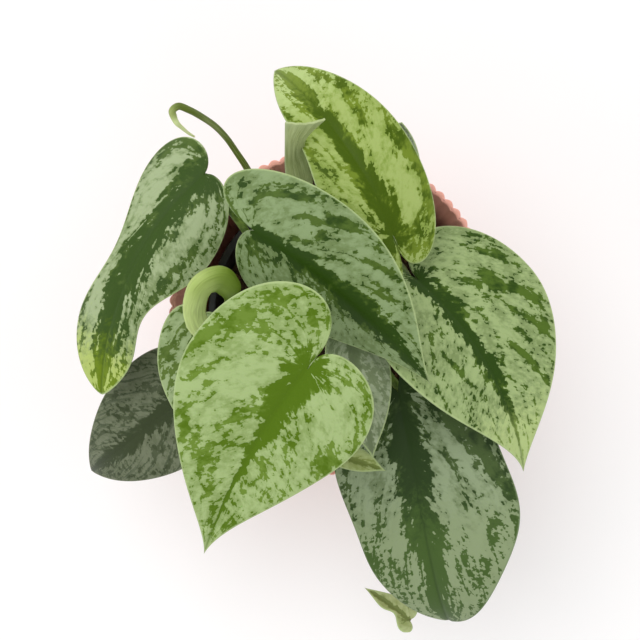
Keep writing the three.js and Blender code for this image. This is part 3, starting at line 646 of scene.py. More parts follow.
def satin(name, leaf, tones, seed, tip=None, edge=(172, 190, 134), patch=(4, 6), flecks=1.0,
          slant=1.2, blotch=3.0, streaks=0.12, streak_tone=None):
    """The satin upper face of a blade: silver patches with broken edges, drawn out along the veins over a
    green skin, with a green band at the midrib and a pale margin. tones are the deep and the usual green
    and the usual and the bright silver. tip is where other tones take over, and its green and silver."""
    skin, t, v, x, y, from_edge = leaf_skin(name, 0.12)
    level, share, hug = skin.noted("tones")
    far = abs(v)

    def cells(size, at):
        """Small blocks, each with a value of its own, a little longer than wide along the veins."""
        wide = (beside + (fine - 0.5) * 0.6) / size
        long = (outward + strips * 1.2) / size / 1.6
        sockets = {"Vector": skin.vector(wide, long, half + at), "Scale": 1.0}
        blocks = skin.node("ShaderNodeTexVoronoi", {"distance": "CHEBYCHEV"}, sockets, "Color")
        return skin.parts(blocks)[0] - 0.5

    # across counts from vein to vein and along runs out along a vein, in millimetres. beside and outward do
    # so on the flat blade, where they aren't drawn together at the stalk.
    sway = skin.grain(x * 0.09, y * 0.09, seed, 1) - 0.5
    across = (t - far * far * VEIN_SWEEP) * (leaf["length"] * 0.92 / slant) + sway * 3
    along = v * (0.5 * (leaf["left"] + leaf["right"]))
    outward = abs(y) * math.sin(VEIN_LEAN) + x * math.cos(VEIN_LEAN)
    beside = abs(y) * math.cos(VEIN_LEAN) - x * math.sin(VEIN_LEAN)
    half = y.rise(-0.01, 0.01) * 9
    fine = skin.grain(beside / 0.5, outward / 0.8, half + (seed + 13), 1.5, 0.6)
    specks = skin.grain(beside / 1.7, outward / 2.9, half + (seed + 31), 2, 0.6) - 0.5
    strips = skin.grain(across / 1.2, along / 6, seed + 7, 1.5) - 0.5
    patches = skin.grain(across / patch[0], along / patch[1], seed, 2, 0.55) - 0.5
    across = across + (fine - 0.5) * 0.8
    broken = (cells(1.0, seed + 19) * 0.75 + cells(0.5, seed + 29) * 0.25) * flecks
    broken = broken + specks * 2.2 + strips * 0.9
    # inner is the green band at the midrib, channels the green lines that follow the veins
    inner = 1 - (hug + broken * 0.4 + patches * 1.2 + strips * 1.8).rise(0.45, 1.55)
    channels = 1 - abs((across * 0.6 + strips * 2).maths("SINE")).rise(0.05, 0.4)
    value = level + patches * blotch + broken - inner * 2 - channels * far.rise(0.1, 0.3) * 0.55 + 0.1
    silvered = value.rise(-0.02, 0.05)
    tint = skin.grain(x * 0.13, y * 0.13, seed + 3)
    green = skin.mix((tint + specks * 0.7 - inner * 0.3).rise(0.27, 0.6), *tones[:2])
    silver = skin.mix((tint * 0.8 + value * 0.2 + specks * 0.4).rise(0.3, 0.68), *tones[2:])
    colour = skin.mix(silvered * 0.96, green, silver)
    lines = skin.grain(across / 0.7, along / 10, seed + 23, 2, 0.6)
    streaked = lines.rise(0.54, 0.66) * streaks * (far * 2 + 0.2).held()
    colour = skin.mix(streaked, colour, streak_tone or tones[1])
    if tip:
        start, tip_dark, tip_light = tip
        fade = (share + broken * 0.1).rise(start, start + 0.25)
        colour = skin.mix(fade * 0.85, colour, skin.mix(silvered, tip_dark, tip_light))
    colour = skin.mix((1 - abs(y).rise(0.2, 0.7)) * 0.35, colour, tones[0])
    rim = (1 - (from_edge + fine * 0.4).rise(0.45, 0.95)) * t.rise(0.06, 0.16)
    colour = skin.mix(rim * (abs(x) + abs(y)).rise(1.5, 4) * 0.8, colour, edge)
    skin.set(base_color=colour, roughness=0.46 + silvered * 0.06 + (fine - 0.5) * 0.1)
    pleats = (across * 1.7).maths("SINE") * 0.5
    skin.bump(pleats * 0.4 * far + strips * 0.25 + fine * 0.4 + silvered * 0.12, 0.14)
    return skin


def underside(name, pale, deep):
    """The plain pale lower face of a blade, with raised veins that show a little darker."""
    skin, t, v, x, y, from_edge = leaf_skin(name, 0.3)
    blush = (120, 140, 90)
    across = t * 105 - abs(v) * abs(v) * 7
    ribs = ((across * 1.05).maths("SINE") * 0.5 + 0.5) ** 6
    mottle = skin.grain(x * 0.35, y * 0.35, 5, 4, 0.6)
    colour = skin.mix(mottle.rise(0.35, 0.68), pale, deep)
    colour = skin.mix((1 - abs(y).rise(0.5, 1.4)) * 0.5, colour, blush)
    colour = skin.mix(ribs * 0.25, colour, blush)
    colour = skin.mix((1 - from_edge.rise(0.2, 0.75)) * 0.5, colour, (196, 210, 160))
    skin.set(base_color=colour, roughness=0.5 + mottle * 0.1)
    skin.bump(ribs * 0.8 + mottle * 0.5, 0.15)
    return skin


def grow_leaf(kind, slot, back, shape, band, level, tones, seed, left_marks=(), right_marks=(),
              ribs=110, rows=16, **pattern):
    """One leaf's blade in its place, satin above and plain below, with the last points of its stalk noted."""
    node, leaf = "leaf_" + kind, {**PLAIN_LEAF, **shape}
    piece = blade(kind + "_leaf", node, leaf, band, (left_marks, right_marks), level, ribs, rows)
    place_piece(piece, satin(kind + "_leaf_satin", leaf, tones, seed, **pattern), slot, node)
    piece.data.materials.append(back.material)
    # upper and lower faces take turns in the mesh, up to the two that close the edge at the stalk
    for number, polygon in enumerate(piece.data.polygons):
        polygon.material_index = number % 2 if number < len(piece.data.polygons) - 2 else 0
    under = seat(*leaf.get("stalk_seat", (leaf["at"], leaf["turns"])))
    drops = (STALK_DROPS[0] + leaf["room"], STALK_DROPS[1] + 0.35 * leaf["room"])
    stalk_ends[node] = [tuple(under @ Vector((0, 0, -drop))) for drop in drops]


bright_back = underside("bright_leaf_underside", (150, 176, 112), (126, 156, 92))
silver_back = underside("silver_leaf_underside", (138, 160, 118), (112, 136, 94))
dark_back = underside("dark_leaf_underside", (118, 140, 104), (94, 118, 84))

grow_leaf(
    "front", "leaf_bright", bright_back,
    dict(at=(-7.6, -16.4, 180), turns=(-127.5, -18.5, -5), length=75,
        left=26, right=32, lobes=(12, 23), belly=0.16, fullness=0.28, point=0.25, bends=(17, 13, 5),
        fold=(11, 15.5), curl=30, wave=0.8, notch=-0.1),
    band=(5.5, 4.6, 3.8, 2.4, 1.2, 0.7, 0.5, 0.3, 0, 0), level=0.22, seed=1.5,
    tones=((80, 110, 10), (106, 134, 48), (138, 160, 96), (164, 185, 125)),
    left_marks=[(37, 88, 8, 10, -0.7), (50, 85, 3, 10, -1), (45, 50, 4, 15, 0.9), (40, 60, 3, 15, 0.8)],
    right_marks=[(34, 80, 1.5, 7, -1), (25, 85, 1.2, 7, -0.9), (28, 80, 1.4, 8, -0.8),
        (36, 75, 1.2, 8, -0.6), (38, 93, 2, 6, -0.7), (43, 90, 2, 8, -0.8), (50, 70, 1.2, 24, -1),
        (65, 75, 2, 8, -1.2), (44, 45, 5, 24, 0.9)])

# ---- Middle leaf ----
# A broad silver blade that leans over the pot. Its right half is folded well down from the midrib, and its
# stalk rises from the back left vine.
grow_leaf(
    "middle", "leaf_silver", silver_back,
    dict(at=(-23.2, 23.4, 165), turns=(-31, 6.5, 2), length=74,
        left=21, right=27, lobes=(18, 6), belly=0.22, fullness=0.39, point=0.22, bends=(-22.5, 33, 6.5),
        fold=(3.5, -44), curl=12, wave=0.5, room=1.7),
    band=(1.6, 1.8, 2.2, 2.6, 3, 3.2, 3, 2, 1, 0.5), level=0.5, seed=4.2,
    tones=((40, 66, 6), (76, 100, 34), (112, 132, 82), (138, 158, 112)), slant=1.6, blotch=2.2,
    left_marks=[(30, 75, 1.4, 9, -1.3), (33, 65, 1.4, 9, -1.2), (37, 75, 1.4, 9, -1.2),
        (38, 90, 1.4, 7, -1.1), (44, 80, 1.6, 10, -1.8), (46, 75, 1.4, 8, -1.5), (42, 55, 1.3, 9, -1.2),
        (48, 45, 1.2, 9, -1.1), (47, 25, 1.2, 8, -1.1), (52, 85, 1.4, 8, -0.9), (54, 40, 1.2, 9, -1.1),
        (57, 70, 1.3, 9, -1.2), (63, 60, 1.3, 10, -1.1), (61, 85, 1.2, 7, -1), (66, 50, 1.2, 10, -1.1),
        (68, 75, 1.2, 8, -1), (80, 75, 1.4, 8, -0.9), (22, 70, 1.4, 10, -1.1), (27, 50, 1.4, 10, -1.1),
        (10, 80, 5, 20, -1.3), (65, 15, 5, 12, -1)],
    right_marks=[(22, 22, 7, 26, -1.1), (36, 16, 6, 20, -1), (56, 20, 5, 20, -1), (72, 25, 6, 20, -0.9)])

# ---- Top leaf ----
# A long yellow-green blade behind the others, arched over at the tip, with silver-lime patches. A short
# stalk carries it from the back right vine.
grow_leaf(
    "top", "leaf_bright", bright_back,
    dict(at=(18.4, 23.5, 144), turns=(112.7, 17.7, 6.6), twist=-10,
        length=80.5, left=16.6, right=20, lobes=(21.7, 15.6), belly=0.24, fullness=0.37, point=0.11,
        bends=(21, 72.5, 17), fold=(19.6, -4), curl=30.7, wave=0.4, waist=(0.2, -0.02), waist_at=0.48,
        notch=-0.1, room=0.2),
    band=(4, 4, 3.4, 2.8, 2.4, 2.4, 2.2, 2, 1.2, 0.5), level=0.1, seed=8.8,
    tones=((66, 90, 0), (112, 134, 38), (134, 156, 70), (162, 181, 104)), patch=(5, 6),
    tip=(0.55, (122, 143, 50), (178, 197, 128)), slant=1.9,
    left_marks=[(75, 80, 3, 10, 1), (52, 55, 3.5, 15, 1.2), (43, 45, 3, 15, 1), (90, 80, 4, 20, 0.6),
        (55, 12, 12, 12, -0.9)],
    right_marks=[(65, 42, 2.5, 15, 1.2), (53, 40, 3, 20, 1.3), (40, 42, 4, 18, 1.2), (55, 82, 2, 8, 1),
        (66, 55, 1.5, 10, 0.8), (77, 50, 2, 12, 0.9), (90, 80, 4, 20, 0.6), (40, 90, 10, 10, -0.7),
        (63, 62, 1.2, 8, -1.1), (58, 60, 1.2, 10, -1), (45, 80, 2, 8, -0.9), (20, 55, 10, 45, -0.4)])

# ---- Right leaf ----
# A broad pale silver-green blade with a narrow dark band at its midrib and a lime tip. It spreads out over
# the pot's rim on a stalk from the back right vine.
grow_leaf(
    "right", "leaf_silver", silver_back,
    dict(at=(27.6, 10, 128), turns=(-41.5, 17.5, -25.5), length=73.5,
        left=34, right=31, lobes=(14.5, 15), belly=0.24, fullness=0.35, point=0.21, bends=(-23.5, 44, 11.5),
        fold=(-1, 14), curl=6, wave=0.7),
    band=(4, 3.4, 3.3, 3, 2.8, 2.4, 1.7, 0.8, 0, 0), level=0.46, seed=12.1,
    tones=((42, 68, 10), (78, 104, 32), (126, 145, 92), (157, 176, 120)),
    tip=(0.62, (140, 162, 84), (176, 194, 128)), slant=1.5, blotch=1.8,
    left_marks=[(43.5, 57, 3, 7, -1.7), (35, 75, 1.4, 9, -1.2), (38, 85, 1.4, 8, -1.1),
        (31, 90, 1.4, 8, -1.1), (46, 70, 1.3, 8, -1.2), (47, 80, 1.3, 8, -1.2), (49, 85, 1.3, 7, -1.1),
        (54, 12, 2, 6, -1.3), (50, 15, 1.4, 6, -1.1), (43, 35, 1.2, 12, -1), (53, 65, 1.3, 8, -1.1),
        (58, 60, 1.3, 9, -1.1), (57, 85, 1.2, 7, -1.1), (56, 93, 1.4, 5, -1), (63, 50, 1, 12, -1),
        (66, 65, 1.2, 9, -1.1), (63, 85, 1.2, 8, -1.1), (70, 90, 1.4, 7, -1), (53, 95, 1.2, 5, -1)],
    right_marks=[(60, 47, 8, 3.5, -1)])

# ---- Lower leaf ----
# The longest blade, dark green and silver in equal parts. It droops over the rim of the pot on a stalk from
# the front right vine.
grow_leaf(
    "lower", "leaf_dark", dark_back,
    dict(at=(21.8, -26.7, 116), turns=(-79.2, 6.4, 13.7), twist=8,
        length=93, left=29, right=28.5, lobes=(13.8, 5.5), belly=0.34, fullness=0.39, point=0,
        bends=(-7.6, 26.5, 44), fold=(11.3, 9), curl=24, wave=0.5, waist=(-0.17, 0.13), waist_at=0.49),
    band=(6, 5.5, 5.5, 5.5, 5.5, 5.5, 5, 4.5, 3, 1), level=0.16, seed=17.4,
    tones=((44, 64, 28), (72, 92, 48), (113, 129, 92), (146, 161, 127)),
    tip=(0.3, (70, 95, 42), (136, 151, 112)), edge=(120, 138, 100), slant=1.5,
    left_marks=[(42, 47, 2, 12, 1.1), (44, 45, 1.5, 10, 1), (53, 38, 3, 10, 1.3), (57, 35, 2, 10, 1),
        (56, 65, 3, 12, 1.2), (47, 75, 1.5, 10, 1), (48, 85, 1.5, 8, 0.9), (60, 70, 2, 10, 1),
        (72, 45, 3, 12, 1), (25, 65, 12, 35, -0.8), (40, 70, 1.2, 20, -1), (54, 55, 1, 10, -0.9),
        (59, 72, 1, 8, -0.9)],
    right_marks=[(50, 25, 2, 8, 1), (50, 40, 2, 10, 1), (46, 70, 2, 12, 1.2), (58.5, 40, 3, 12, 1.2),
        (75, 30, 4, 10, 1)])

# ---- Hanging leaf ----
# A long dark blade at the left, rolled far down on its right side, with a narrow waist and a lime tip. Its
# stalk leans out from the back left vine.
grow_leaf(
    "hanging", "leaf_dark", dark_back,
    dict(at=(-41.86, 44.29, 124), turns=(-137.7, 7.1, 23.4), twist=23.5,
        length=83.5, left=22.9, right=35.6, lobes=(4.5, 9.1), belly=0.384, fullness=0.397, point=0,
        bends=(31.6, 40.6, 5.3), fold=(3, 11), curl=65, wave=0.3, waist=(0.46, 0.71), waist_at=0.628,
        right_half=dict(belly=0.325, fullness=0.473, waist_at=0.423, waist_reach=0.38),
        stalk_seat=((-41.8, 44.3, 124), (-138, 5, 27.5))),
    band=(6, 5, 4.8, 4.8, 4.8, 4.8, 4.5, 4, 3, 1), level=0.24, seed=21.3,
    tones=((56, 80, 28), (80, 102, 44), (124, 142, 94), (163, 178, 136)),
    tip=(0.68, (112, 136, 20), (176, 194, 100)), slant=2.2,
    left_marks=[(40, 55, 3, 15, 1.3), (50, 48, 3, 12, 1.3), (45, 30, 1.5, 8, 0.8), (30, 50, 3, 15, 0.9),
        (60, 40, 3, 12, 1.1), (45, 80, 3, 12, -1)],
    right_marks=[(40, 70, 5, 20, 1.2), (28, 50, 3, 15, 0.9), (52, 85, 3, 12, 1.1), (65, 65, 4, 15, 1),
        (76, 50, 3, 20, 1), (20, 15, 10, 15, -1.2), (14, 85, 10, 25, -0.9)])

# ---- Grey leaf ----
# A low blade at the left, grey-green all over, on which the dark veins show as fine slanting streaks. Its
# stalk comes from the front left vine.
grow_leaf(
    "grey", "leaf_grey", dark_back,
    dict(at=(-48, -26.8, 109), turns=(-139.5, -11.5, 1), length=66, left=20,
        right=21, lobes=(14, 11.5), belly=0.18, fullness=0.35, point=0.16, bends=(-6, 45, 14), fold=(8, 7.5),
        curl=33, wave=0.5),
    band=(3, 3, 3, 3, 2, 1, 1), level=0.2, seed=25.9,
    tones=((56, 66, 40), (78, 87, 62), (96, 104, 79), (112, 119, 95)), edge=(112, 120, 94), streaks=0.7,
    streak_tone=(58, 70, 46))

# ---- Small leaves ----
# Five lesser blades on short stalks between and below the large ones, from sage to pale yellow-green. They
# are modelled like the large ones, with fewer ribs.
grow_leaf(
    "small_left", "leaf_silver", silver_back,
    dict(at=(-43, -3.3, 129), turns=(-98.5, -2, 0), length=39.5,
        left=9, right=12, lobes=(5, 6.5), belly=0.24, fullness=0.37, point=0.18, bends=(0, 26, 6),
        fold=(8, 8), curl=22, wave=0.3),
    band=(2, 1.5, 1.2, 0.8), level=0.22, seed=29.4,
    tones=((72, 96, 32), (94, 116, 52), (134, 153, 104), (158, 176, 130)), ribs=70, rows=11, patch=(4, 5))
grow_leaf(
    "shaded", "leaf_grey", dark_back,
    dict(at=(4.9, -7.7, 140), turns=(-79, -4, 0), length=42, left=11,
        right=9, lobes=(6, 5), belly=0.26, fullness=0.37, point=0.14, bends=(1, 18, 5), fold=(8, 8), curl=21,
        wave=0.3),
    band=(1.5, 1.2, 1), level=0.1, seed=33.7,
    tones=((112, 126, 92), (128, 142, 106), (142, 155, 122), (168, 178, 150)), ribs=70, rows=11,
    streaks=0.5, streak_tone=(100, 114, 80))
grow_leaf(
    "pale", "leaf_young", bright_back,
    dict(at=(-2.1, -45.3, 128), turns=(-14, -1, 0), length=21.5, left=5,
        right=3.5, lobes=(3, 3), belly=0.33, fullness=0.36, point=0.18, bends=(-9, 21, 5), fold=(25, 15),
        curl=20, wave=0),
    band=(0.8, 0.8, 0.5), level=0.4, seed=37.2,
    tones=((112, 126, 62), (134, 148, 80), (142, 155, 90), (166, 180, 120)), ribs=50, rows=8, flecks=0.4,
    blotch=1)
grow_leaf(
    "trailing", "leaf_young", bright_back,
    dict(at=(27.8, -110.9, 74), turns=(139.6, 0, 1.4), twist=1.2,
        length=19.3, left=5.8, right=5.9, lobes=(4.5, 1.8), belly=0.13, fullness=0.07, point=0.14,
        bends=(13, 18.5, 4.7), fold=(20, 10), curl=19.5, wave=0, waist=(0.62, 0), waist_at=0.28),
    band=(0.8, 0.8, 0.5), level=0.5, seed=41.8,
    tones=((114, 126, 70), (126, 138, 84), (147, 159, 100), (176, 186, 134)), ribs=50, rows=8,
    tip=(0.8, (120, 108, 66), (150, 140, 100)), flecks=0.4, blotch=1)
grow_leaf(
    "hidden", "leaf_grey", dark_back,
    dict(at=(11, 33.4, 128), turns=(66, -2, 0), length=33, left=12,
        right=12.5, lobes=(5, 5), belly=0.3, fullness=0.45, point=0.05, bends=(3.5, 26, 6), fold=(8, 8),
        curl=20, wave=0.3),
    band=(1.5, 1.5, 1), level=0.2, seed=45.1,
    tones=((90, 102, 72), (104, 116, 88), (122, 134, 106), (136, 148, 122)), ribs=60, rows=9)

# ---- Half-open leaf ----
# A young leaf that has not yet spread: a standing strap, grey-green, lined lengthwise by its veins, with a
# slanted pale end.
STRAP_LEFT = [(-13.6, 35.6, 118.2), (-14.6, 40.8, 127), (-15, 46.2, 135.5), (-14.7, 51.6, 147),
              (-14.5, 56.7, 156)]
STRAP_RIGHT = [(-10.7, 35.5, 118), (-7, 40, 125), (-6.8, 44.8, 134), (-7.8, 48.7, 141),
               (-9, 50.8, 145.8), (-8.6, 52.5, 149.5), (-7.2, 54, 152), (-2.6, 57.5, 157)]
STRAP_STEPS, STRAP_ROWS = 48, 18
STRAP_ARCH, STRAP_EDGE, PLEAT_DEPTH, PLEATS = 1.2, 0.25, 0.1, 4.5
NEAR = 1e-4  # share of a run over which its direction is taken


def smooth_run(points, share):
    """Point on the smooth line through a row of points, at a share of the way along it."""
    points = [np.array(p, dtype=float) for p in points]
    place = min(max(share, 0.0), 1.0) * (len(points) - 1)
    i = min(int(place), len(points) - 2)
    w = place - i
    p1, p2 = points[i], points[i + 1]
    p0 = points[i - 1] if i > 0 else 2 * p1 - p2
    p3 = points[i + 2] if i + 2 < len(points) else 2 * p2 - p1
    d0, d1, d2 = (max(float((b - a) @ (b - a)) ** 0.25, 1e-4) for a, b in ((p0, p1), (p1, p2), (p2, p3)))
    m1 = ((p1 - p0) / d0 - (p2 - p0) / (d0 + d1) + (p2 - p1) / d1) * d1
    m2 = ((p2 - p1) / d1 - (p3 - p1) / (d1 + d2) + (p3 - p2) / d2) * d1
    return p1 + m1 * w + (-3 * p1 + 3 * p2 - 2 * m1 - m2) * w ** 2 + (2 * p1 - 2 * p2 + m1 + m2) * w ** 3


def apply_modifier(piece, kind, **settings):
    """Changes a piece's mesh by a modifier, at once."""
    pick(piece)
    change = piece.modifiers.new(kind.lower(), kind)
    for name, value in settings.items():
        setattr(change, name, value)
    bpy.ops.object.modifier_apply(modifier=change.name)


def young_stalk(node, first, second):
    """Notes the last points of a young leaf's stalk, which goes on into the leaf in one line."""
    first, second = Vector(first), Vector(second)
    back = (first - second).normalized()
    stalk_ends[node] = [tuple(first + back * 5.3), tuple(first - back * 1.2)]


strap_points, strap_faces, strap_notes = [], [], []
for i in range(STRAP_STEPS + 1):
    share = i / STRAP_STEPS
    a, b = smooth_run(STRAP_LEFT, share), smooth_run(STRAP_RIGHT, share)
    tangent = smooth_run(STRAP_LEFT, share + NEAR) - smooth_run(STRAP_LEFT, share - NEAR)
    lift = np.cross(b - a, tangent)
    lift /= np.linalg.norm(lift)
    for j in range(STRAP_ROWS + 1):
        w = j / STRAP_ROWS
        pleat = PLEAT_DEPTH * math.sin(w * PLEATS * math.tau)
        strap_points.append(a + (b - a) * w + lift * (STRAP_ARCH * math.sin(math.pi * w) + pleat))
        strap_notes.append((share, w, 0))
for i in range(STRAP_STEPS):
    for j in range(STRAP_ROWS):
        k = i * (STRAP_ROWS + 1) + j
        strap_faces.append((k, k + 1, k + STRAP_ROWS + 2, k + STRAP_ROWS + 1))
half_open = new_piece("half_open_leaf", strap_points, strap_faces)
note_points(half_open.data, "run", strap_notes)
apply_modifier(half_open, "SOLIDIFY", thickness=BLADE_THICKNESS * MM, offset=0)
apply_modifier(half_open, "BEVEL", width=STRAP_EDGE * MM, segments=2, limit_method="ANGLE",
               angle_limit=math.radians(50))
bpy.ops.object.shade_smooth()

young = Finish("half_open_leaf_skin", specular_ior_level=0.2)
share, w, _ = young.noted("run")
lines = young.grain(share * 4, w * 38, 2, 2, 0.6)
cloud = young.grain(share * 3, w * 3, 9, 3, 0.6)
tone = young.mix((lines * 0.6 + cloud * 0.5).rise(0.36, 0.76), (148, 162, 100), (190, 202, 146))
tone = young.mix(share.rise(0.9, 1.0) * 0.5, tone, (176, 190, 140))
tone = young.mix((1 - w.rise(0.02, 0.1)) * 0.5, tone, (190, 204, 160))
young.set(base_color=tone, roughness=0.45 + cloud * 0.1)
young.bump(lines, 0.2)
place_piece(half_open, young, "leaf_young", "leaf_half_open")
strap_middle = [(Vector(a) + Vector(b)) / 2 for a, b in zip(STRAP_LEFT, STRAP_RIGHT)]
young_stalk("leaf_half_open", *strap_middle[:2])

# ---- Rolled leaves ----
# Two leaves still rolled up lengthwise, each lapped along one side. One is thick and bent over in a hook,
# the other is slender with a curled tip.
UPRIGHT = 0.2  # sideways share of a direction below which a tube counts as upright


def tube(points, width, depth, sides, steps, lap=0.0, notes=None):
    """Points and faces of a closed tube along a smooth line. width and depth are half-sizes of its oval
    section at a share of the way. lap steps the skin down round the section, as a rolled leaf's edge does."""
    rows, faces, across = [], [], None
    for i in range(steps + 1):
        share = i / steps
        centre = smooth_run(points, share)
        along = smooth_run(points, share + NEAR) - smooth_run(points, share - NEAR)
        along /= np.linalg.norm(along)
        if across is None:
            across = np.cross((0, 0, 1), along)
            if np.linalg.norm(across) < UPRIGHT:
                across = np.array((0.0, 1.0, 0.0))
        across = across - along * (across @ along)
        across /= np.linalg.norm(across)
        up = np.cross(along, across)
        for j in range(sides):
            turn = math.tau * j / sides
            swell = 1 - lap * (j / (sides - 1))
            rows.append(centre + swell * (across * width(share) * math.cos(turn)
                                          + up * depth(share) * math.sin(turn)))
            if notes is not None:
                notes.append((share, j / sides))
    for i in range(steps):
        for j in range(sides):
            k = (j + 1) % sides
            faces.append((i * sides + j, i * sides + k, (i + 1) * sides + k, (i + 1) * sides + j))
    last = steps * sides
    faces.append(tuple(range(sides - 1, -1, -1)))
    faces.append(tuple(range(last, last + sides)))
    return rows, faces


def sampled(values):
    """A size that changes smoothly through a row of values, at a share of the way."""
    def at(share):
        place = min(max(share, 0), 1) * (len(values) - 1)
        low = min(int(place), len(values) - 2)
        here = place - low
        ease = here * here * (3 - 2 * here)
        return values[low] + (values[low + 1] - values[low]) * ease
    return at


def rolled(name, node, path, width, depth, steps, sides, lap, tones):
    """A rolled leaf along a path, with its stalk's end. width and depth are its half-sizes on the way."""
    notes = []
    points, faces = tube(path, sampled(width), sampled(depth), sides, steps, lap, notes)
    piece = new_piece(name, points, faces)
    note_points(piece.data, "run", [(share, turn, 0) for share, turn in notes])
    pick(piece)
    bpy.ops.object.shade_smooth_by_angle(angle=math.radians(50))
    place_piece(piece, rolled_skin(name + "_skin", tones), "leaf_young", node)
    young_stalk(node, *path[:2])


def rolled_skin(name, tones):
    """A young leaf's pale back, rolled outwards. tones follow each other from the stalk to the tip."""
    skin = Finish(name, specular_ior_level=0.25, subsurface_weight=0.08, subsurface_radius=(0.5, 0.9, 0.2),
                  subsurface_scale=0.001)
    share, turn, _ = skin.noted("run")
    lines = skin.grain(share * 5, abs(turn - 0.5) * 34, 3, 2, 0.6)
    cloud = skin.noise(skin.place(), 90, 3, 0.5)
    along = share * (len(tones) - 1) + (cloud - 0.5) * 0.8
    colour = tones[0]
    for number, tone in enumerate(tones[1:]):
        colour = skin.mix(along.rise(number, number + 1), colour, tone)
    colour = skin.mix((lines * 0.8 + cloud * 0.3).rise(0.5, 0.8) * 0.4, colour, tones[-2])
    skin.set(base_color=colour, roughness=0.42 + cloud * 0.15)
    skin.bump(lines, 0.12)
    return skin


# On the hooked leaf the last, dark olive tones lie on the limb that turns back down inside the hook: partly
# the leaf's own colour, partly painted shade.
rolled(
    "hooked_leaf", "leaf_rolled",
    [(-31, -10.6, 136), (-38.6, -7.6, 142), (-42.2, -2, 148), (-42, 3.5, 151), (-39.6, 8, 153),
     (-35.6, 9.8, 152), (-32.3, 7.6, 148), (-31.6, 3.6, 144), (-33.2, 0, 140)],
    width=[2, 3, 4, 4.4, 5, 5.4, 4, 2.2, 0.7], depth=[1.8, 2.2, 2.6, 3, 3.2, 3.2, 3, 2, 0.7],
    steps=90, sides=36, lap=0.07,
    tones=((178, 198, 116), (194, 212, 136), (192, 210, 134), (172, 192, 108), (118, 144, 44), (84, 108, 14),
           (72, 94, 4)))
rolled(
    "curled_shoot", "shoot_curled",
    [(-24.7, 39, 128), (-26.5, 44, 140), (-29.9, 49.1, 146), (-32.7, 52.9, 150), (-35.9, 56, 153),
     (-40.2, 58.7, 155.5), (-43.3, 60.2, 157), (-46.5, 61.2, 157.5), (-48.3, 59.9, 157), (-48, 58.2, 156),
     (-47.2, 56.6, 155), (-45.7, 55.3, 153), (-44.1, 54.1, 151), (-42.5, 53.3, 149)],
    width=[1.4, 1.1, 1, 1, 1, 1.05, 1.1, 1.15, 1.1, 0.9, 0.65, 0.5, 0.35],
    depth=[1.4, 1.1, 1, 1, 1, 1.05, 1.1, 1.1, 1, 0.8, 0.6, 0.5, 0.35],
    steps=120, sides=20, lap=0.06,
    tones=((104, 118, 38), (84, 98, 18), (72, 88, 8), (70, 86, 6), (84, 100, 22), (150, 164, 92),
           (208, 220, 156), (214, 224, 166), (206, 218, 154)))

# ---- Vines and leaf stalks ----
# Four rooted vines: fleshy round stems with a swollen ring at each joint. The stalks leave them at the
# crown, each thickened where it clasps the vine and again under the blade that it carries.
VINE_RADIUS, STALK_RADIUS, STALK_FOOT = 2.3, 1.45, 6
VINE_DEPTH, VINE_RISE = 25, 6  # how far a vine goes into the soil, and its upright run above it
JOINTS, JOINT_SWELL, JOINT_LENGTH = (0.72, 0.97), 0.16, 0.035
STALK_STEP, SKIN_GRAIN = 1.4, 0.42
# each vine's crown, and the points that its stalks pass on their way to the leaves
VINES = {
    "back_left": ((-22, 16, 98), {
        "leaf_hanging": [(-31, 30, 115)], "leaf_middle": [(-25, 24, 130)],
        "leaf_half_open": [(-17, 26, 108)], "shoot_curled": [(-23, 29, 113)]}),
    "back_right": ((16, 19, 98), {
        "leaf_top": [(17, 20, 122)], "leaf_right": [(22, 16, 112)], "leaf_hidden": [(14, 26, 114)]}),
    "front_left": ((-20, -13, 97), {
        "leaf_front": [(-18, -11, 125), (-13, -11, 158)], "leaf_grey": [(-33, -18, 104)],
        "leaf_small_left": [(-31, -4, 113)], "leaf_rolled": [(-25, -13, 118)]}),
    "front_right": ((8, -6, 95), {
        "leaf_lower": [(13, -13, 105)], "leaf_shaded": [(8, -1, 120)],
        "leaf_pale": [(1, -22, 108), (-7, -38, 121)],
        "leaf_trailing": [(8, -30, 101), (14, -56, 105), (24, -84, 89), (28, -103, 71)]}),
}
YOUNG = ("leaf_half_open", "leaf_rolled", "shoot_curled")  # their stalks go on into the leaf


def vine_thickness(share):
    """Half-thickness of a vine, swollen at its joints."""
    rings = sum(math.exp(-(((share - place) / JOINT_LENGTH) ** 2)) for place in JOINTS)
    return VINE_RADIUS * (1 + JOINT_SWELL * rings)


def stalk_thickness(length, carries_blade):
    """Half-thickness of a stalk of this length, swollen above the vine and just under the blade."""
    def at(share):
        left = (1 - share) * length
        swell = 1 + 0.22 * math.exp(-((share * length - 8) / 7) ** 2)
        if carries_blade:
            swell *= 1 + 0.1 * math.exp(-((left - 5) / 3) ** 2)
            swell *= min(1.0, 0.3 + 0.7 * math.sqrt(min(1, left / 1.6)))
        return STALK_RADIUS * 0.97 * swell
    return at


fleshy = Finish("vine_and_stalk_skin", roughness=0.42, specular_ior_level=0.4, subsurface_weight=0.06,
                subsurface_radius=(0.6, 1.0, 0.3), subsurface_scale=0.001)
spot = fleshy.place()
x, y, height = fleshy.parts(spot)
mottle = fleshy.noise(spot, 150, 3, 0.6)
run = fleshy.grain(x * 900, y * 900, height * 70)
green = fleshy.mix((mottle * 0.6 + run * 0.6).rise(0.42, 0.78), (78, 104, 30), (124, 150, 62))
aged = (0.094 - height + mottle * 0.012).rise(0, 0.014)
fleshy.set(base_color=fleshy.mix(aged * 0.8, green, (112, 92, 56)), roughness=0.36 + mottle * 0.2)
fleshy.bump(run + mottle * 0.5, 0.12)

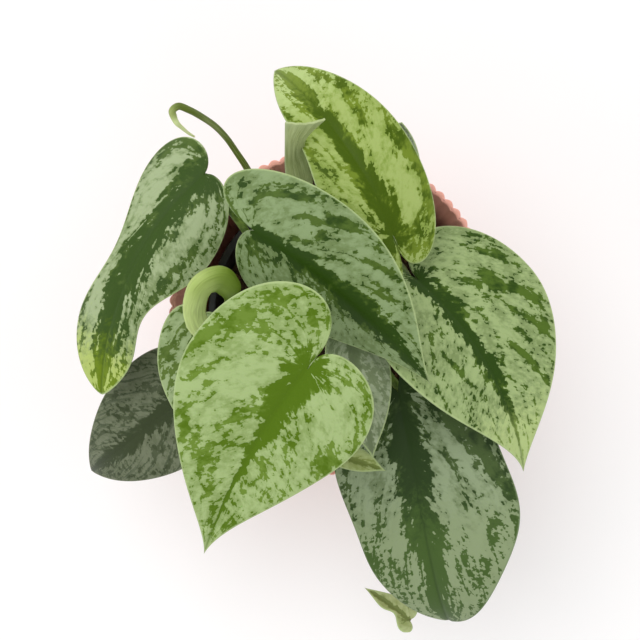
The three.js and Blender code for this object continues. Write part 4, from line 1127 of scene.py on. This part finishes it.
for name, (crown, stalks) in VINES.items():
    x, y = VINE_FEET[name]
    trunk = [(x, y, SOIL_TOP - VINE_DEPTH), (x, y, SOIL_TOP), (x, y, SOIL_TOP + VINE_RISE), crown]
    points, faces = tube(trunk, vine_thickness, vine_thickness, 20, 40)
    for leaf_name, passes in stalks.items():
        path = [(crown[0], crown[1], crown[2] - STALK_FOOT), crown, *passes, *stalk_ends[leaf_name]]
        length = sum((Vector(b) - Vector(a)).length for a, b in zip(path, path[1:]))
        thickness = stalk_thickness(length, leaf_name not in YOUNG)
        more, skins = tube(path, thickness, thickness, 14, int(length / STALK_STEP))
        faces += [tuple(k + len(points) for k in face) for face in skins]
        points += more
    vine = new_piece(name + "_vine", points, faces)
    apply_modifier(vine, "REMESH", mode="VOXEL", voxel_size=SKIN_GRAIN * MM, use_smooth_shade=True)
    apply_modifier(vine, "SMOOTH", factor=0.5, iterations=4)
    place_piece(vine, fleshy, "stem", "vine_" + name)

# ---- Floor, light and camera ----
# A plain pale floor under an even white sky, with one wide soft lamp above and a little to the back left.
# The camera looks straight down on the plant.
FLOOR_SIZE, FLOOR_DROP = 8, 0.0005
SKY_STRENGTH, LAMP_SIZE, LAMP_POWER = 0.84, 3, 58
LAMP_PLACE, LAMP_AIM = (-1.0, 1.2, 3.6), Vector((0, 0, 0.1))
CAMERA_PLACE, SENSOR_WIDTH, FOCAL_LENGTH = (-0.0041, -0.0027, 0.550), 36, 73.86

pick()
bpy.ops.mesh.primitive_plane_add(size=FLOOR_SIZE, location=(0, 0, -FLOOR_DROP))
floor = bpy.context.object
floor.name = "studio_floor"
plaster = Finish("pale_floor", roughness=0.9, specular_ior_level=0.1)
grain = plaster.noise(plaster.place(), 3, 2, 0.5)
plaster.set(base_color=plaster.mix(grain.rise(0.3, 0.7), (244, 244, 244), (250, 250, 250)))
floor.data.materials.append(plaster.material)

sky = bpy.data.worlds.new("white_studio")
sky.use_nodes = True
white = sky.node_tree.nodes["Background"]
white.inputs["Color"].default_value = (1, 1, 1, 1)
white.inputs["Strength"].default_value = SKY_STRENGTH
bpy.context.scene.world = sky

lamp_data = bpy.data.lights.new("soft_lamp", "AREA")
lamp_data.shape, lamp_data.size, lamp_data.energy = "DISK", LAMP_SIZE, LAMP_POWER
lamp = bpy.data.objects.new("soft_lamp", lamp_data)
lamp.location = LAMP_PLACE
lamp.rotation_euler = (LAMP_AIM - lamp.location).to_track_quat("-Z", "Y").to_euler()
bpy.context.collection.objects.link(lamp)

camera_data = bpy.data.cameras.new("camera")
camera_data.sensor_width, camera_data.lens = SENSOR_WIDTH, FOCAL_LENGTH
camera_data.clip_start = 0.01
camera = bpy.data.objects.new("camera", camera_data)
camera.location = CAMERA_PLACE
bpy.context.collection.objects.link(camera)
bpy.context.scene.camera = camera
bpy.context.scene.view_settings.view_transform = "Standard"
